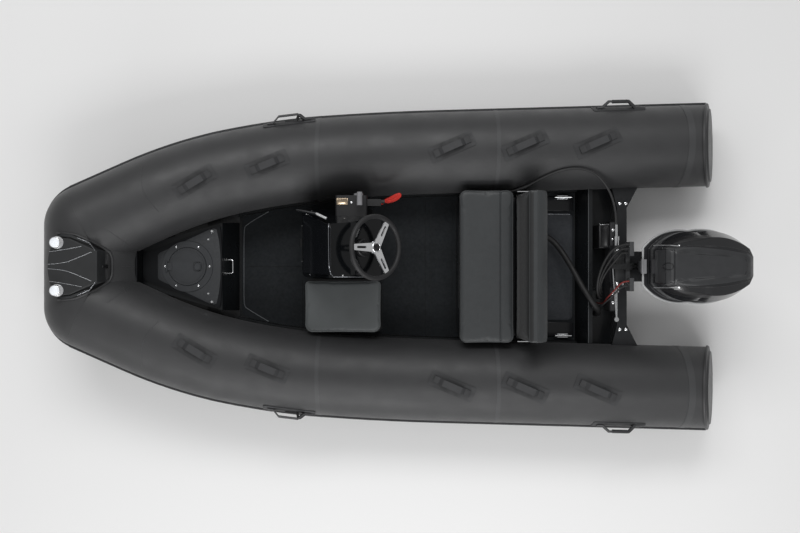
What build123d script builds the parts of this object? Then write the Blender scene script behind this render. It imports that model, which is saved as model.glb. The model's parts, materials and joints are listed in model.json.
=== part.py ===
from build123d import *
import os
from math import atan2, cos, degrees, pi, radians, sin, tan

os.makedirs("parts", exist_ok=True)

# The boat floats with its origin on the centre line at the waterline, amidships.
# +X runs to the bow, +Y to port and +Z up. Every length is in millimetres.

# Gaps between pieces
seat_gap = 0.3

# Inflated tubes: the port centre line from past the stern to the bow corner
tube_r = 240.0
tube_z = 270.0
bow_lift = 200.0
bow_x = 1764.0
bow_half = 227.0
tube_line = [
    (-2100.0, 726.0, tube_z),
    (150.0, 664.0, tube_z),
    (750.0, 609.0, tube_z + 0.18 * bow_lift),
    (1250.0, 481.0, tube_z + 0.55 * bow_lift),
    (bow_x, bow_half, tube_z + bow_lift),
]
tube_bends = [9000.0, 3500.0, 2500.0]
tube_end_x = -1822.0
tube_end_lean = 24.7

# Hull bottom and floor
floor_z = 100.0
liner_t = 14.7
transom_x = -1285.0
transom_t = 55.0
transom_top = 285.0
keel_z = -240.0
floor_front = 986.0
# Columns: station x, keel z, the chine's step in and down from the saddle's foot, inner deck z
hull_stations = [
    (transom_x + seat_gap, keel_z, 39.1, 82.1, floor_z - liner_t),
    (-200.0, keel_z + 2.0, 29.2, 78.2, floor_z - liner_t),
    (150.0, keel_z + 12.0, 33.3, 70.0, floor_z - liner_t),
    (450.0, keel_z + 26.0, 41.8, 68.5, floor_z - liner_t),
    (750.0, keel_z + 52.0, 52.0, 70.9, floor_z - liner_t),
    (floor_front, keel_z + 101.0, 69.6, 69.4, floor_z - liner_t),
    (1180.0, keel_z + 165.0, 87.3, 46.6, 130.0),
    (1360.0, keel_z + 245.0, 103.3, 25.9, 200.0),
    (1560.0, keel_z + 375.0, 103.4, 20.4, 248.0),
    (1615.0, keel_z + 445.0, 136.2, 8.1, 258.0),
]
chine_flat = 35.0
chine_lift = 6.0
saddle_gap = 7.0
saddle_low = 25.0
saddle_high = 45.0
shoulder_w = 18.0


def saddle_points(x):
    """Three points of the hull's saddle under the port tube, from its foot upwards."""
    y, z = tube_at(x)
    reach = tube_r + saddle_gap
    angles = [radians(a) for a in (saddle_low, (saddle_low + saddle_high) / 2, saddle_high)]
    return [(y - reach * sin(a), z - reach * cos(a)) for a in angles]


def mirrored(points):
    return [(-y, z) for y, z in reversed(points)]


def save(builder, name):
    builder.part.label = name
    export_step(builder.part, f"parts/{name}.step")


with BuildLine() as tube_path:
    FilletPolyline(*tube_line, radius=tube_bends)


def tube_at(x):
    """Centre of the port tube at a station: its half width and its height."""
    low, high = 0.0, 1.0
    for _ in range(40):
        middle = (low + high) / 2
        if (tube_path.line @ middle).X < x:
            low = middle
        else:
            high = middle
    point = tube_path.line @ low
    return point.Y, point.Z


def tube_plane(x, roll, side, skew, lift):
    """A plane on the tube's skin: its x runs along the tube, its z points off the skin."""
    y, z = tube_at(x)
    y2, z2 = tube_at(x + 1)
    along = Vector(1, side * (y2 - y), z2 - z).normalized()
    up = Vector(0, 0, 1)
    out = along.cross(up) * (-side)
    up = along.cross(out).normalized() * side
    normal = up * cos(radians(roll)) + out * sin(radians(roll))
    centre = Vector(x, side * y, z)
    turn = radians(side * skew)
    across = normal.cross(along)
    strap_dir = along * cos(turn) + across * sin(turn)
    return Plane(origin=centre + normal * (tube_r + lift), x_dir=strap_dir, z_dir=normal)


end_plane = Plane(
    origin=(tube_end_x, 0, tube_z),
    z_dir=(cos(radians(tube_end_lean)), 0, -sin(radians(tube_end_lean))),
)
corner = Vector(*tube_line[-1])
corner_dir = (corner - Vector(*tube_line[-2])).normalized()


def side_tube(radius):
    with BuildPart() as tube:
        with BuildSketch(Plane(origin=tube_path.line @ 0, x_dir=(0, 0, -1), z_dir=tube_path.line % 0)):
            Circle(radius)
        sweep(path=tube_path.line)
        split(bisect_by=end_plane, keep=Keep.TOP)
    return tube.part


def bow_tube(radius, gap):
    with BuildPart() as tube:
        with BuildSketch(Plane(origin=(bow_x, -bow_half, corner.Z), z_dir=(0, 1, 0))):
            Circle(radius)
        extrude(amount=2 * bow_half)
        with Locations((bow_x, bow_half, corner.Z), (bow_x, -bow_half, corner.Z)):
            Sphere(radius)
        port_end = Plane(origin=corner + corner_dir * gap, z_dir=corner_dir)
        split(bisect_by=port_end, keep=Keep.TOP)
        split(
            bisect_by=Plane(
                origin=(port_end.origin.X, -port_end.origin.Y, port_end.origin.Z),
                z_dir=(corner_dir.X, -corner_dir.Y, corner_dir.Z),
            ),
            keep=Keep.TOP,
        )
    return tube.part


def all_tubes(radius):
    """The port, starboard and bow tubes at one radius, for cutting what seats on them."""
    port = side_tube(radius)
    return [port, mirror(port, about=Plane.XZ), bow_tube(radius, 0.0)]


tube_seats = all_tubes(tube_r + seat_gap)

with BuildPart() as tube_port:
    add(side_tube(tube_r))

with BuildPart() as tube_starboard:
    add(mirror(tube_port.part, about=Plane.XZ, mode=Mode.PRIVATE))

with BuildPart() as tubes:
    add(tube_port.part)
    add(tube_starboard.part)
    add(bow_tube(tube_r, seat_gap))
save(tubes, "tubes")

# End caps of the tubes: a rim around a shallow dome
cap_rim = 8.0
cap_t = 14.0
cap_dome = 16.0
cap_edge = 5.0
with BuildPart() as tube_end_caps:
    aft = end_plane.z_dir * -1
    cap_y = tube_at(tube_end_x)[0]
    cap_plane = Plane(
        origin=Vector(tube_end_x, cap_y, tube_z) + aft * seat_gap, x_dir=(0, 1, 0), z_dir=aft
    )
    with BuildSketch(cap_plane):
        Ellipse(tube_r + cap_rim, (tube_r + cap_rim) / cos(radians(tube_end_lean)))
    extrude(amount=cap_t)
    chamfer(tube_end_caps.faces().sort_by(Axis.X)[0].edges(), cap_edge)
    with BuildSketch(cap_plane.offset(cap_t - cap_edge)):
        Ellipse(tube_r - cap_dome, (tube_r - cap_dome) / cos(radians(tube_end_lean)))
    extrude(amount=cap_dome, taper=35)
    mirror(about=Plane.XZ)
save(tube_end_caps, "tube_end_caps")

# Rub strake: a D section along the widest line of the tubes
strake_t = 13.0
strake_h = 48.0
strake_round = 6.0


def strake_section(plane):
    with BuildSketch(plane) as section:
        with Locations((tube_r + seat_gap + strake_t / 2, 0)):
            Rectangle(strake_t, strake_h)
        fillet(section.vertices().group_by(Axis.X)[-1], strake_round)
    return section.sketch


with BuildPart() as rub_strake:
    start = Vector(*tube_line[0])
    along = (Vector(*tube_line[1]) - start).normalized()
    outward = Vector(-along.Y, along.X, 0).normalized()
    sweep(strake_section(Plane(origin=start, x_dir=outward, z_dir=along)), path=tube_path.line)
    split(bisect_by=end_plane, keep=Keep.TOP)
    mirror(about=Plane.XZ)
    for side in (1, -1):
        foot = Vector(bow_x, side * bow_half, corner.Z)
        section = strake_section(Plane(origin=foot, x_dir=(1, 0, 0), z_dir=(0, side, 0)))
        extrude(section, amount=-bow_half)
        turn = 90 - degrees(atan2(-corner_dir.Y, corner_dir.X))
        revolve(section, axis=Axis(foot, (0, 0, side)), revolution_arc=turn)
save(rub_strake, "rub_strake")

# Grab handles on top of the tubes and carry handles on their outer sides
# Columns: station x, roll from the top of the tube, skew, strap length, ease over a bend
grab_rows = [
    (1180.0, -9.0, -14.0, 200.0, 0.9),
    (772.0, -6.0, -13.0, 200.0, 0.0),
    (-293.0, 0.0, -22.0, 220.0, 0.0),
    (-708.0, 0.0, -22.0, 220.0, 0.0),
    (-1118.0, 0.0, -22.0, 220.0, 0.0),
]
carry_rows = [(619.0, 66.0, 0.0, 250.0, 0.1), (-1276.0, 66.0, 0.0, 250.0, 0.0)]
carry_lift = 44.0
strap_w = 38.0
strap_t = 6.0
strap_lift = 26.0
strap_foot = 32.0
strap_rise = 22.0
patch_t = 3.0
patch_margin = 26.0
patch_corner = 12.0


def strap_body(x, roll, side, skew, length, top):
    """A moulded hand strap: two feet sunk to the skin and a raised grip between them."""
    seat = tube_plane(x, roll, side, skew, 0.0)
    half = length / 2
    inner = half - strap_foot
    crown = inner - strap_rise * top / strap_lift
    low = strap_t + patch_t
    with BuildPart() as grip:
        with BuildSketch(Plane(origin=seat.origin, x_dir=seat.x_dir, z_dir=seat.y_dir * -1)):
            with BuildLine():
                Polyline(
                    (-half, -top), (-half, low), (-inner, low), (-crown, top), (crown, top),
                    (inner, low), (half, low), (half, -top), (inner, -top), (inner, patch_t),
                    (crown, top - strap_t), (-crown, top - strap_t), (-inner, patch_t),
                    (-inner, -top), close=True,
                )
            make_face()
        extrude(amount=strap_w / 2, both=True)
    return grip.part


def strap_patch(x, roll, side, skew, length):
    seat = tube_plane(x, roll, side, skew, 0.0)
    with BuildPart() as patch:
        with BuildSketch(seat.offset(-strap_lift)):
            RectangleRounded(length + 2 * patch_margin, strap_w + 2 * patch_margin, patch_corner)
        extrude(amount=2 * strap_lift)
    return patch.part


def skin_near(x, side, lift):
    """A straight cylinder along the tube at a station, a lift above its skin."""
    y, z = tube_at(x)
    seat = tube_plane(x, 0.0, side, 0.0, 0.0)
    with BuildPart(Plane(origin=(x, side * y, z), z_dir=seat.x_dir)) as skin:
        Cylinder(tube_r + lift, 600.0)
    return skin.part


def strap_row(rows, side, top):
    which = 0 if side > 0 else 1
    with BuildPart() as straps:
        for row in rows:
            x, roll, skew, length, ease = row
            seat = skin_near(x, side, seat_gap + ease) if ease else tube_seats[which]
            with BuildPart(mode=Mode.PRIVATE) as one:
                add(strap_patch(x, roll, side, skew, length))
                add(skin_near(x, side, seat_gap + patch_t), mode=Mode.INTERSECT)
                add(strap_body(x, roll, side, skew, length, top))
                add(seat, mode=Mode.SUBTRACT)
            add(one.solids().sort_by(SortBy.VOLUME)[-1])
    return straps


with BuildPart() as grab_handles:
    add(strap_row(grab_rows, 1, strap_lift).part)
    add(strap_row(grab_rows, -1, strap_lift).part)
save(grab_handles, "grab_handles")

with BuildPart() as carry_handles:
    add(strap_row(carry_rows, 1, carry_lift).part)
    add(strap_row(carry_rows, -1, carry_lift).part)
save(carry_handles, "carry_handles")

# Hull bottom: a ruled V bottom with a chine flat and a saddle under each tube
def hull_section(x, keel, chine_in, chine_down, deck):
    low, middle, high = saddle_points(x)
    edge = (low[0] - chine_in, low[1] - chine_down)
    chine = [edge, (edge[0] + chine_flat, edge[1] + chine_lift)]
    shoulder = [high, (high[0] - shoulder_w, high[1]), (high[0] - shoulder_w, deck)]
    with BuildSketch(Plane(origin=(x, 0, 0), x_dir=(0, 1, 0), z_dir=(1, 0, 0))) as section:
        with BuildLine():
            Polyline((0, keel), *chine, low)
            ThreePointArc(low, middle, high)
            Polyline(*shoulder, *mirrored(shoulder))
            ThreePointArc((-high[0], high[1]), (-middle[0], middle[1]), (-low[0], low[1]))
            Polyline((-low[0], low[1]), *mirrored(chine), (0, keel))
        make_face()
    return section.sketch


with BuildPart() as hull:
    loft([hull_section(*row) for row in hull_stations], ruled=True)
save(hull, "hull")

# Inner moulding: the floor and its low coamings along the tubes
well_front = -1080.0
coaming_z = 150.0
coaming_tuck = 26.0
coaming_out = tube_r - coaming_tuck
coaming_w = 26.0
plan_x = (well_front + seat_gap, -200.0, 150.0, 450.0, 750.0, floor_front)
with BuildPart() as deck_liner:
    edge = [(x, saddle_points(x)[2][0] - shoulder_w - seat_gap) for x in plan_x]
    outer = [(x, tube_at(x)[0] - coaming_out) for x in plan_x]
    inner = [(x, y - coaming_w) for x, y in outer]
    with BuildSketch(Plane.XY.offset(floor_z - liner_t)):
        with BuildLine():
            Polyline(*edge, *[(x, -y) for x, y in reversed(edge)], close=True)
        make_face()
    extrude(amount=liner_t)
    with BuildSketch(Plane.XY.offset(floor_z)):
        with BuildLine():
            Polyline(*outer, *reversed(inner), close=True)
        make_face()
        mirror(about=Plane.XZ)
    extrude(amount=coaming_z - floor_z)
save(deck_liner, "deck_liner")

# Engine well: a sloped bulkhead, its lip and the tray ahead of the transom
lip_x = -1117.0
lip_z = 280.0
lip_w = 26.0
well_z = 140.0
with BuildPart() as engine_well:
    with BuildSketch(Plane(origin=(0, -tube_at(lip_x)[0], 0), x_dir=(1, 0, 0), z_dir=(0, -1, 0))):
        with BuildLine():
            Polyline(
                (well_front, floor_z - liner_t), (well_front, floor_z), (lip_x, lip_z),
                (lip_x - lip_w, lip_z), (lip_x - lip_w - 8.0, well_z),
                (transom_x + seat_gap, well_z), (transom_x + seat_gap, floor_z - liner_t), close=True,
            )
        make_face()
    extrude(amount=-2 * tube_at(lip_x)[0])
    add(hull.part, mode=Mode.SUBTRACT)
    for seat in tube_seats:
        add(seat, mode=Mode.SUBTRACT)
save(engine_well, "engine_well")

# Transom: the board, its cap and the plates that tie it to the tubes
cap_h = 14.0
wing_reach = 80.0
wing_in = 345.0
wing_out = 500.0
with BuildPart() as transom:
    extrude(hull_section(transom_x, *hull_stations[0][1:]), amount=-transom_t)
    half_board = saddle_points(transom_x)[2][0] - shoulder_w
    with Locations((transom_x - transom_t / 2, 0, (transom_top + hull_stations[0][4]) / 2)):
        Box(transom_t, 2 * half_board, transom_top - hull_stations[0][4])
    for seat in tube_seats:
        add(seat, mode=Mode.SUBTRACT)
save(transom, "transom")

cap_mid = transom_x - transom_t / 2
with BuildPart() as transom_cap:
    with BuildSketch(Plane.XY.offset(transom_top + seat_gap)):
        with BuildLine():
            half_cap = transom_t / 2 + 1.0
            port = [
                (cap_mid + half_cap, 0), (cap_mid + half_cap, wing_in),
                (cap_mid + half_cap + wing_reach / 2, wing_out),
                (cap_mid - half_cap - wing_reach, wing_out),
                (cap_mid - half_cap, wing_in), (cap_mid - half_cap, 0),
            ]
            Polyline(*port, close=True)
        make_face()
        mirror(about=Plane.XZ)
    extrude(amount=cap_h)
    for seat in tube_seats:
        add(seat, mode=Mode.SUBTRACT)

# Motor pad on the inner face of the transom
pad_half = 260.0
pad_t = 40.0
pad_foot = 165.0
with BuildPart() as motor_pad:
    with Locations((transom_x + seat_gap + pad_t / 2, 0, (pad_foot + transom_top) / 2)):
        Box(pad_t, 2 * pad_half, transom_top - pad_foot)
    fillet(motor_pad.edges().filter_by(Axis.Y).sort_by(Axis.Z)[-2:].sort_by(Axis.X)[-1:], 12.0)
save(motor_pad, "motor_pad")

rail_t = 5.0
rail_foot = 185.0
with BuildPart() as pad_rails:
    for side in (1, -1):
        rail_y = side * (pad_half + seat_gap + rail_t / 2)
        with Locations((transom_x + seat_gap + pad_t / 2, rail_y, (rail_foot + transom_top) / 2)):
            Box(pad_t, rail_t, transom_top - rail_foot)

with BuildPart() as transom_trim:
    add(transom_cap.part)
    add(pad_rails.part)
save(transom_trim, "transom_trim")

# Bow locker: the moulding, its deck panel and the round hatch
locker_top = 345.0
deck_z = 360.0
locker_aft = (1040.0, 270.0)
locker_fore = (1550.0, 110.0)
locker_wall = 12.0
locker_slope = 50.0
with BuildPart() as locker_blank:
    fore_x, fore_y = locker_fore
    aft_x, aft_y = locker_aft
    with BuildSketch(Plane.XY.offset(floor_z)):
        with BuildLine():
            Polyline(
                (aft_x - locker_slope, 0), (aft_x - locker_slope, aft_y), (fore_x, fore_y), (fore_x, 0),
                close=True,
            )
        make_face()
        mirror(about=Plane.XZ)
    extrude(amount=locker_top - floor_z)
    with BuildSketch(Plane(origin=(0, 400, 0), x_dir=(1, 0, 0), z_dir=(0, -1, 0))):
        with BuildLine():
            Polyline(
                (900, floor_z), (aft_x - locker_slope, floor_z), (aft_x, locker_top), (900, locker_top),
                close=True,
            )
        make_face()
    extrude(amount=800, mode=Mode.SUBTRACT)
    with BuildSketch(Plane.XY.offset(floor_z)):
        with BuildLine():
            Polyline((aft_x + 20, 0), (aft_x + 20, aft_y - 40), (1400, 95), (1400, 0), close=True)
        make_face()
        mirror(about=Plane.XZ)
    extrude(amount=locker_top, mode=Mode.SUBTRACT)
    add(hull.part, mode=Mode.SUBTRACT)
    for seat in tube_seats:
        add(seat, mode=Mode.SUBTRACT)

with BuildPart() as bow_locker:
    add(locker_blank.solids().sort_by(SortBy.VOLUME)[-1])
save(bow_locker, "bow_locker")

# Half outline of the deck panel from its blunt nose to its aft corner
deck_edge = [(1500.0, 0.0), (1500.0, 62.0), (1484.0, 82.0), (1062.0, 240.0), (1050.0, 233.0)]
deck_bow = 12.0
hatch_x = 1240.0
hatch_r = 110.0
hatch_ring_r = 149.0
hatch_gap = 2.0
ring_t = 6.0
with BuildPart() as bow_deck:
    with BuildSketch(Plane.XY.offset(locker_top + seat_gap)):
        with BuildLine():
            corner_x, corner_y = deck_edge[-1]
            Polyline(*deck_edge)
            ThreePointArc((corner_x, corner_y), (corner_x - deck_bow, 0), (corner_x, -corner_y))
            Polyline(*[(x, -y) for x, y in reversed(deck_edge)])
        make_face()
        with Locations((hatch_x, 0)):
            Circle(hatch_r + hatch_gap, mode=Mode.SUBTRACT)
    extrude(amount=deck_z - locker_top - seat_gap)
save(bow_deck, "bow_deck")

with BuildPart() as hatch_ring:
    with BuildSketch(Plane.XY.offset(deck_z + seat_gap)):
        with Locations((hatch_x, 0)):
            Circle(hatch_ring_r)
            Circle(hatch_r + hatch_gap, mode=Mode.SUBTRACT)
    extrude(amount=ring_t)
    chamfer(hatch_ring.edges().filter_by(GeomType.CIRCLE).group_by(Axis.Z)[-1], 1.5)
save(hatch_ring, "hatch_ring")

hatch_hinge_x = hatch_x + hatch_r + 10.0
hatch_hinge_z = deck_z + ring_t + 7.0
hinge_pin_r = 5.0
with BuildPart() as hatch_lid:
    top = deck_z + ring_t
    with Locations((hatch_x, 0, top - 4.0)):
        Cylinder(hatch_r, 8.0)
    with Locations((hatch_x, 0, top + 1.0)):
        Cylinder(hatch_r - 14.0, 2.0)
    with Locations((hatch_x - 62.0, 0, top + 5.0)):
        Box(46.0, 40.0, 8.0)
    with Locations((hatch_hinge_x - 16.0, 0, top + 3.5)):
        Box(32.0, 44.0, 5.0)
    with Locations(Location((hatch_hinge_x, 0, hatch_hinge_z), (90, 0, 0))):
        Cylinder(hinge_pin_r, 60.0)
save(hatch_lid, "hatch_lid")

# Columns: x, half width, radius, height
stud_rows = [(1096.0, 206.0, 11.0, 12.0), (1118.0, 158.0, 8.0, 9.0)]
with BuildPart() as deck_studs:
    for x, y, r, h in stud_rows:
        for side in (1, -1):
            with Locations((x, side * y, deck_z + seat_gap)):
                Cylinder(r, h - r / 2, align=(Align.CENTER, Align.CENTER, Align.MIN))
            with Locations((x, side * y, deck_z + seat_gap + h - r / 2)):
                Cone(r, r * 0.55, r / 2, align=(Align.CENTER, Align.CENTER, Align.MIN))

# Pull handle on the locker's sloped face
pull_half = 40.0
pull_r = 5.0
pull_out = 28.0
pull_z = 262.0
lean = atan2(locker_slope, locker_top - floor_z)
with BuildPart() as locker_pull:
    face_x = aft_x - locker_slope + (pull_z - floor_z) * tan(lean)
    off_face = Plane(origin=(face_x, 0, pull_z), x_dir=(0, 1, 0), z_dir=(sin(lean), 0, cos(lean)))
    with BuildLine(off_face) as line:
        FilletPolyline(
            (-pull_half, 2 * seat_gap), (-pull_half, pull_out), (pull_half, pull_out),
            (pull_half, 2 * seat_gap), radius=12.0,
        )
    with BuildSketch(Plane(origin=line.line @ 0, z_dir=line.line % 0)):
        Circle(pull_r)
    sweep(path=line.line)

# Bow step: a moulded tread over the bow tube, its rubber rim and two lamps
step_z = 738.0
step_front = 1888.0
step_rear = 1622.0
step_half = 158.0
step_tail = 84.0
rim_w = 14.0
rim_tail = 70.0


front_x = step_front - 40.0
wide_x = step_front - 120.0
wide_y = step_half - 8.0
with BuildPart() as bow_step:
    with BuildSketch(Plane.XY.offset(step_z - 120.0)):
        with BuildLine():
            ThreePointArc((front_x, step_half), (step_front, 0), (front_x, -step_half))
            Polyline(
                (front_x, -step_half), (wide_x, -wide_y), (step_rear, -step_tail),
                (step_rear, step_tail), (wide_x, wide_y), (front_x, step_half),
            )
        make_face()
    extrude(amount=120.0)
    fillet(bow_step.faces().sort_by(Axis.Z)[-1].edges(), 6.0)
    for seat in tube_seats:
        add(seat, mode=Mode.SUBTRACT)
save(bow_step, "bow_step")

rim_t = 12.0
rim_gap = 6.0
rim_skin = bow_tube(tube_r + seat_gap + rim_t, 0.0)
with BuildPart() as step_rim:
    with BuildSketch(Plane.XY.offset(step_z - 120.0)):
        tail_x = step_rear - rim_tail
        tail_y = step_tail - 14.0
        edge = rim_gap + rim_w
        with BuildLine():
            Polyline(
                (front_x, 0), (front_x, step_half + edge), (wide_x, wide_y + edge),
                (tail_x, tail_y + edge), (tail_x, 0), close=True,
            )
        make_face()
        with BuildLine():
            Polyline(
                (front_x + 1, 0), (front_x + 1, step_half + rim_gap), (wide_x, wide_y + rim_gap),
                (tail_x + rim_w, tail_y + rim_gap), (tail_x + rim_w, 0), close=True,
            )
        make_face(mode=Mode.SUBTRACT)
        mirror(about=Plane.XZ)
    extrude(amount=120.0)
    add(rim_skin, mode=Mode.INTERSECT)
    add(tube_seats[2], mode=Mode.SUBTRACT)
save(step_rim, "step_rim")

lamp_x = 1832.0
lamp_y = 128.0
lamp_r = 34.0
with BuildPart() as bow_lamps:
    for side in (1, -1):
        with Locations((lamp_x, side * lamp_y, step_z + seat_gap)):
            Cylinder(lamp_r, 8.0, align=(Align.CENTER, Align.CENTER, Align.MIN))
        with Locations((lamp_x, side * lamp_y, step_z + seat_gap + 8.0)):
            Cone(lamp_r - 3.0, 16.0, 20.0, align=(Align.CENTER, Align.CENTER, Align.MIN))
    fillet(bow_lamps.edges().filter_by(GeomType.CIRCLE).group_by(Axis.Z)[-1], 8.0)
# Console: a raked hollow moulding with a front door, a smoked screen and a sloped dash
console_port = 60.0
console_starboard = -328.0
console_wall = 6.0
console_floor = floor_z + seat_gap
lean_low_z = 450.0
lean_in = 105.0
# Columns: x, z of the side view, from the front foot over the top to the aft foot
console_side = [
    (560.0, console_floor), (560.0, 440.0), (372.0, 842.0), (260.0, 803.0),
    (104.0, 662.0), (150.0, 560.0), (170.0, console_floor),
]
dash_low = console_side[4]
dash_high = console_side[3]
dash_slope = atan2(dash_high[1] - dash_low[1], dash_high[0] - dash_low[0])


def console_block(wall):
    """The console's outer form, or with a wall its inner space, open at the foot."""
    foot = console_floor - (1.0 if wall else 0.0)
    side = [
        (560.0 - wall, foot), (560.0 - wall, 440.0 - wall * 0.3), (372.0 - wall * 0.3, 842.0 - wall * 1.5),
        (260.0 + wall * 0.2, 803.0 - wall * 1.3), (104.0 + wall * 1.6, 662.0 - wall * 0.6),
        (150.0 + wall, 560.0), (170.0 + wall, foot),
    ]
    with BuildPart() as block:
        with BuildSketch(Plane(origin=(0, console_port - wall, 0), x_dir=(1, 0, 0), z_dir=(0, -1, 0))):
            with BuildLine():
                Polyline(*side, close=True)
            make_face()
        extrude(amount=console_port - console_starboard - 2 * wall)
        inboard = atan2(lean_in, 842.0 - lean_low_z)
        lean = Plane(
            origin=(0, console_starboard + wall, lean_low_z),
            z_dir=(0, cos(inboard), -sin(inboard)),
        )
        split(bisect_by=lean, keep=Keep.TOP)
    return block.part


door_half = 115.0
door_low = 160.0
door_high = 400.0
door_mid_y = (console_port + console_starboard) / 2
with BuildPart() as console:
    add(console_block(0.0))
    fillet(console.edges().filter_by(Axis.Z).group_by(Axis.X)[-1], 35.0)
    add(console_block(console_wall), mode=Mode.SUBTRACT)
    with Locations((560.0, door_mid_y, (door_low + door_high) / 2)):
        Box(40.0, 2 * door_half - 30.0, door_high - door_low - 30.0, mode=Mode.SUBTRACT)
save(console, "console")

door_t = 8.0
door_gap = 0.5
door_pin_x = 560.0 + door_gap + door_t / 2 + 2.0
door_pin_z = door_low - 8.0
with BuildPart() as console_door:
    with Locations((560.0 + door_gap + door_t / 2, door_mid_y, (door_low + door_high) / 2)):
        Box(door_t, 2 * door_half, door_high - door_low)
    fillet(console_door.edges().filter_by(Axis.X).group_by(Axis.Z)[-1], 18.0)
    with Locations(Location((door_pin_x, door_mid_y, door_pin_z), (90, 0, 0))):
        Cylinder(5.0, 160.0)
    with Locations((door_pin_x, door_mid_y, door_pin_z + 4.0)):
        Box(5.0, 150.0, 9.0)

with BuildPart() as door_latch:
    with Locations((560.0 + door_gap + door_t + 7.0, door_mid_y, door_high - 18.0)):
        Box(13.4, 44.0, 24.0)
    fillet(door_latch.edges().filter_by(Axis.Y).group_by(Axis.X)[-1], 4.0)

with BuildPart() as latched_door:
    add(console_door.part)
    add(door_latch.part)
save(latched_door, "console_door")

# Smoked screen on the raked front and the grab rail beside it
screen_t = 5.0
rake = atan2(842.0 - 440.0, 560.0 - 372.0)
with BuildPart() as windscreen:
    foot = Vector(560.0, 0, 440.0)
    up = Vector(-cos(rake), 0, sin(rake))
    out = Vector(sin(rake), 0, cos(rake))
    with BuildSketch(Plane(origin=foot + out * seat_gap, x_dir=(0, 1, 0), z_dir=out)):
        with BuildLine():
            sign = 1 if Plane(origin=foot, x_dir=(0, 1, 0), z_dir=out).y_dir.Z > 0 else -1
            Polyline(
                (-300, sign * 30), (36, sign * 30), (44, sign * 480), (-200, sign * 480),
                (-214, sign * 462), (-300, sign * 60), close=True,
            )
        make_face()
    extrude(amount=screen_t)
save(windscreen, "windscreen")

with BuildPart() as console_rail:
    with BuildLine() as line:
        FilletPolyline(
            (555, -316, 452), (590, -322, 470), (440, -278, 790), (385, -252, 812), radius=14.0
        )
    with BuildSketch(Plane(origin=line.line @ 0, z_dir=line.line % 0)):
        Circle(7.0)
    sweep(path=line.line)

# Helm on the dash and the steering wheel in front of it
wheel_r = 175.0
wheel_off = 110.0
wheel_y = -100.0
grip_r = 13.0
dash_mid = Vector(200.0, wheel_y, 749.0)
wheel_n = Vector(-sin(dash_slope), 0, cos(dash_slope))
wheel_c = dash_mid + wheel_n * wheel_off
wheel_plane = Plane(origin=wheel_c, x_dir=(0, 1, 0), z_dir=wheel_n)
spoke_dish = 20.0
with BuildPart() as helm:
    with BuildSketch(Plane(origin=dash_mid + wheel_n * seat_gap, x_dir=(0, 1, 0), z_dir=wheel_n)):
        Circle(48.0)
    extrude(amount=22.0)
    fillet(helm.edges().filter_by(GeomType.CIRCLE).sort_by(Axis.Z)[-1], 8.0)
    with BuildSketch(Plane(origin=dash_mid + wheel_n * 22.0, x_dir=(0, 1, 0), z_dir=wheel_n)):
        Circle(34.0)
    extrude(amount=34.0, taper=12)
    with BuildSketch(Plane(origin=dash_mid + wheel_n * 40.0, x_dir=(0, 1, 0), z_dir=wheel_n)):
        Circle(11.0)
    extrude(amount=wheel_off - 40.0 - spoke_dish - seat_gap)

with BuildPart() as wheel_rim:
    with BuildSketch(Plane(origin=wheel_c, x_dir=wheel_n, z_dir=(0, 1, 0))) as ring:
        with Locations(Plane(origin=wheel_c, x_dir=wheel_n, z_dir=(0, 1, 0)).to_local_coords(
            wheel_c + Vector(cos(dash_slope), 0, sin(dash_slope)) * (wheel_r - grip_r)
        )):
            Circle(grip_r)
    revolve(axis=Axis(wheel_c, wheel_n))
save(wheel_rim, "wheel_rim")

hub_r = 34.0
spoke_root = 24.0
spoke_tip = 15.0
spoke_t = 8.0
with BuildPart() as wheel_spokes:
    with BuildSketch(wheel_plane.offset(-spoke_dish)):
        Circle(hub_r)
    extrude(amount=14.0)
    for spoke_turn in (-90.0, 30.0, 150.0):
        turn = radians(spoke_turn)
        spoke_dir = wheel_plane.x_dir * cos(turn) + wheel_plane.y_dir * sin(turn)
        spoke_foot = wheel_c - wheel_n * (spoke_t / 2)
        with BuildSketch(Plane(origin=spoke_foot, x_dir=spoke_dir, z_dir=wheel_n)):
            with BuildLine():
                Polyline(
                    (hub_r - 12.0, -spoke_root), (wheel_r - 1.7 * grip_r, -spoke_tip),
                    (wheel_r - 1.7 * grip_r, spoke_tip), (hub_r - 12.0, spoke_root), close=True,
                )
            make_face()
            with Locations(((hub_r + wheel_r) / 2 - 6.0, 0)):
                SlotOverall(62.0, 12.0, mode=Mode.SUBTRACT)
        extrude(amount=spoke_t)
    with BuildSketch(wheel_plane.offset(-spoke_dish)):
        Circle(hub_r - 4.0)
    extrude(amount=spoke_dish + spoke_t / 2)
    add(wheel_rim.part, mode=Mode.SUBTRACT)
save(wheel_spokes, "wheel_spokes")

# Key switch on the port side of the dash, seated in its slope
with BuildPart() as key_switch:
    along = Vector(cos(dash_slope), 0, sin(dash_slope))
    spot = dash_mid + along * 28.0 + Vector(0, 132.0, 0) + wheel_n * seat_gap
    with BuildSketch(Plane(origin=spot, x_dir=(0, 1, 0), z_dir=wheel_n)):
        Circle(17.0)
    extrude(amount=6.0)
    with BuildSketch(Plane(origin=spot + wheel_n * 6.0, x_dir=(0, 1, 0), z_dir=wheel_n)):
        Circle(11.0)
    extrude(amount=9.0)

with BuildPart() as dash_controls:
    add(helm.part)
    add(key_switch.part)
save(dash_controls, "dash_controls")

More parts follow.
